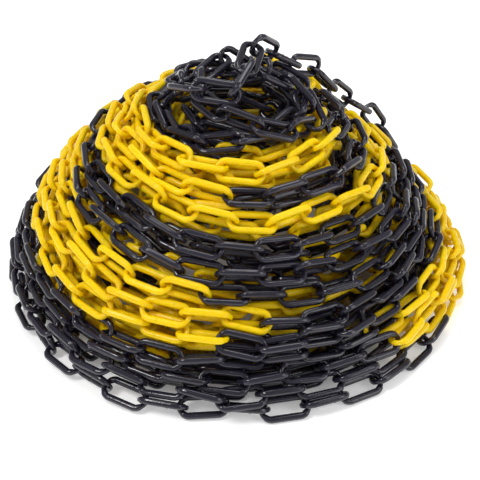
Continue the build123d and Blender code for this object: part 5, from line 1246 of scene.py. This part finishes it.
def add_object(name, data):
    made = bpy.data.objects.new(name, data)
    bpy.context.scene.collection.objects.link(made)
    return made


# ------------------------------------------------------------------ the plastics
def add_node(tree, kind, inputs, **settings):
    """A shader node; inputs maps each socket to its value or to the output it is fed by."""
    made = tree.nodes.new("ShaderNode" + kind)
    for setting, value in settings.items():
        setattr(made, setting, value)
    for socket, value in inputs.items():
        if isinstance(value, bpy.types.NodeSocket):
            tree.links.new(value, made.inputs[socket])
        else:
            made.inputs[socket].default_value = value
    return made


def plastic(name, low, high, roughness, scuff_colour, scuff_amount, finish):
    """Plastic between two colours; finish holds further inputs of the shader."""
    material = bpy.data.materials.new(name)
    material.use_nodes = True
    tree = material.node_tree
    tree.nodes.clear()
    own = add_node(tree, "Attribute", {}, attribute_name="own").outputs["Vector"]
    tone = add_node(tree, "Attribute", {}, attribute_name="tone").outputs["Fac"]

    def noise(**inputs):
        return add_node(tree, "TexNoise", {"Vector": own, **inputs}).outputs["Fac"]

    # colour: each moulding a shade apart, with slow streaks of flow in it
    flow = noise(Scale=0.055, Detail=3.0, Distortion=1.2)
    flow_share = add_node(tree, "Math", {0: flow, 1: 0.45}, operation="MULTIPLY")
    shade = add_node(tree, "Math", {0: tone, 1: 0.55, 2: flow_share.outputs[0]},
                     operation="MULTIPLY_ADD")
    ramp = add_node(tree, "ValToRGB", {0: shade.outputs[0]})
    for stop, position, colour in zip(ramp.color_ramp.elements, (0.1, 0.9), (low, high)):
        stop.position = position
        stop.color = (*colour, 1)

    # dust and rub marks: pale scuffs in small patches
    scuff = add_node(tree, "MapRange", {
        "Value": noise(Scale=0.35, Detail=6.0, Roughness=0.7),
        "From Min": 0.60, "From Max": 0.74, "To Max": scuff_amount})
    # sockets 6 and 7 are the two colours
    scuffed = add_node(tree, "Mix", {}, data_type="RGBA")
    tree.links.new(scuff.outputs[0], scuffed.inputs["Factor"])
    tree.links.new(ramp.outputs[0], scuffed.inputs[6])
    scuffed.inputs[7].default_value = (*scuff_colour, 1)

    # gloss: broken a little by handling
    gloss = add_node(tree, "MapRange", {
        "Value": noise(Scale=0.16, Detail=5.0), "From Min": 0.3, "From Max": 0.7,
        "To Min": roughness[0], "To Max": roughness[1]})

    # surface: faint moulded waviness and fine grain
    wave = add_node(tree, "Bump", {
        "Height": noise(Scale=0.22, Detail=2.0), "Strength": 0.22, "Distance": 0.0006})
    grain = add_node(tree, "Bump", {
        "Height": noise(Scale=2.6, Detail=4.0), "Strength": 0.08, "Distance": 0.0002,
        "Normal": wave.outputs[0]})

    shader = add_node(tree, "BsdfPrincipled", {
        "Base Color": scuffed.outputs[2], "Roughness": gloss.outputs[0],
        "Normal": grain.outputs[0], "IOR": 1.5, "Coat Roughness": 0.18, **finish})
    add_node(tree, "OutputMaterial", {0: shader.outputs[0]})
    return material


PLASTICS = {
    BLACK: plastic(
        "black_plastic_look", low=(0.0076, 0.0063, 0.0135), high=(0.0178, 0.0150, 0.0290),
        roughness=(0.10, 0.21), scuff_colour=(0.045, 0.042, 0.052), scuff_amount=0.30,
        finish={"Specular IOR Level": 0.50, "Coat Weight": 0.12}),
    YELLOW: plastic(
        "yellow_plastic_look", low=(0.865, 0.575, 0.0001), high=(0.935, 0.655, 0.0004),
        roughness=(0.20, 0.34), scuff_colour=(0.98, 0.70, 0.02), scuff_amount=0.25,
        finish={"Specular IOR Level": 0.30, "Coat Weight": 0.0, "Subsurface Weight": 0.30,
                "Subsurface Radius": (1.0, 0.42, 0.02), "Subsurface Scale": 0.0040}),
}

first_link = 0
for name, body, count, colour in chain_pieces():
    piece = build(name + "_look", first_link, count)
    first_link += count
    piece.data.materials.append(PLASTICS[colour])
    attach(piece, body)
    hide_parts(name)


# ------------------------------------------------------------------ studio, in metres
def area_light(name, place, target, size, power, colour):
    """A rectangular light of size (width, height) that faces the target."""
    data = bpy.data.lights.new(name, "AREA")
    data.energy = power
    data.color = colour
    data.shape = "RECTANGLE"
    data.size, data.size_y = size
    lamp = add_object(name, data)
    lamp.location = place
    aim = Vector(np.subtract(target, place))
    lamp.rotation_euler = aim.to_track_quat("-Z", "Y").to_euler()


def pale_room():
    """A world that lights softly but is seen pure white by the camera."""
    world = bpy.data.worlds.new("pale_room")
    bpy.context.scene.world = world
    world.use_nodes = True
    tree = world.node_tree
    light = tree.nodes["Background"]
    light.inputs["Color"].default_value = (1.0, 1.0, 1.0, 1)
    light.inputs["Strength"].default_value = 0.42
    seen = add_node(tree, "Background", {"Color": (1.0, 1.0, 1.0, 1), "Strength": 1.0})
    ray = add_node(tree, "LightPath", {})
    mix = add_node(tree, "MixShader", {
        0: ray.outputs["Is Camera Ray"], 1: light.outputs[0], 2: seen.outputs[0]})
    tree.links.new(mix.outputs[0], tree.nodes["World Output"].inputs[0])


def floor_material():
    """Near-white floor that glows more with distance from the heap's middle; the glow is left
    off under the heap as painted shade there.
    """
    material = bpy.data.materials.new("floor_look")
    material.use_nodes = True
    tree = material.node_tree
    place = add_node(tree, "TexCoord", {})
    distance = add_node(tree, "VectorMath", {0: place.outputs["Object"]},
                        operation="LENGTH").outputs["Value"]
    # painted shade: no glow within 0.19 m of the middle, rising to 0.40 by 0.285 m, so the floor
    # under and inside the heap stays dark
    painted_heap_shade_glow = add_node(tree, "MapRange", {
        "Value": distance, "From Min": 0.190, "From Max": 0.285, "To Min": 0.0,
        "To Max": 0.40}, interpolation_type="SMOOTHSTEP")
    far = add_node(tree, "MapRange", {
        "Value": distance, "From Min": 0.55, "From Max": 1.60, "To Min": 0.0,
        "To Max": 0.60})
    # the floor's whole glow, with the painted shade under the heap
    glow_with_painted_heap_shade = add_node(tree, "Math", {0: painted_heap_shade_glow.outputs["Result"], 1: far.outputs["Result"]},
                    operation="ADD")
    shader = tree.nodes["Principled BSDF"]
    for socket, value in {
            "Base Color": (0.95, 0.95, 0.95, 1), "Roughness": 0.75,
            "Specular IOR Level": 0.2, "Emission Color": (1.0, 1.0, 1.0, 1)}.items():
        shader.inputs[socket].default_value = value
    tree.links.new(glow_with_painted_heap_shade.outputs[0], shader.inputs["Emission Strength"])
    return material


def add_floor(half=8):
    mesh = bpy.data.meshes.new("floor")
    corners = [(-half, -half, 0), (half, -half, 0), (half, half, 0), (-half, half, 0)]
    mesh.from_pydata(corners, [], [(0, 1, 2, 3)])
    floor = add_object("floor", mesh)
    mesh.materials.append(floor_material())


def add_camera():
    """A camera in front of and above the heap, stood off from a point in its middle."""
    middle_x, middle_y, middle_z = 0.0037, -0.0153, 0.1001
    elevation, distance = math.radians(34.6), 1.036
    tilt_down, swing_left = 0.0591190628, 0.00117521368  # radians off the line to the middle
    data = bpy.data.cameras.new("camera")
    data.sensor_width = 36.0
    data.sensor_fit = "HORIZONTAL"
    data.lens = 70.2
    data.clip_start = 0.01
    data.clip_end = 50.0
    camera = add_object("camera", data)
    camera.location = (middle_x, middle_y - distance * math.cos(elevation),
                       middle_z + distance * math.sin(elevation))
    camera.rotation_euler = (math.pi / 2 - elevation - tilt_down, 0.0, swing_left)
    bpy.context.scene.camera = camera


area_light("key", place=(-0.75, -0.55, 1.35), target=(0, 0, 0.08), size=(0.36, 0.52),
           power=10, colour=(1.0, 0.995, 0.985))
area_light("top", place=(0.15, 0.35, 1.6), target=(0, 0, 0.1), size=(0.9, 0.7),
           power=8, colour=(1, 1, 1))
area_light("fill", place=(1.15, -0.75, 0.8), target=(0, 0, 0.1), size=(0.7, 0.9),
           power=5.5, colour=(0.98, 0.99, 1.0))
pale_room()
add_floor()
bpy.context.scene.view_settings.view_transform = "Standard"
bpy.context.scene.view_settings.look = "None"
add_camera()
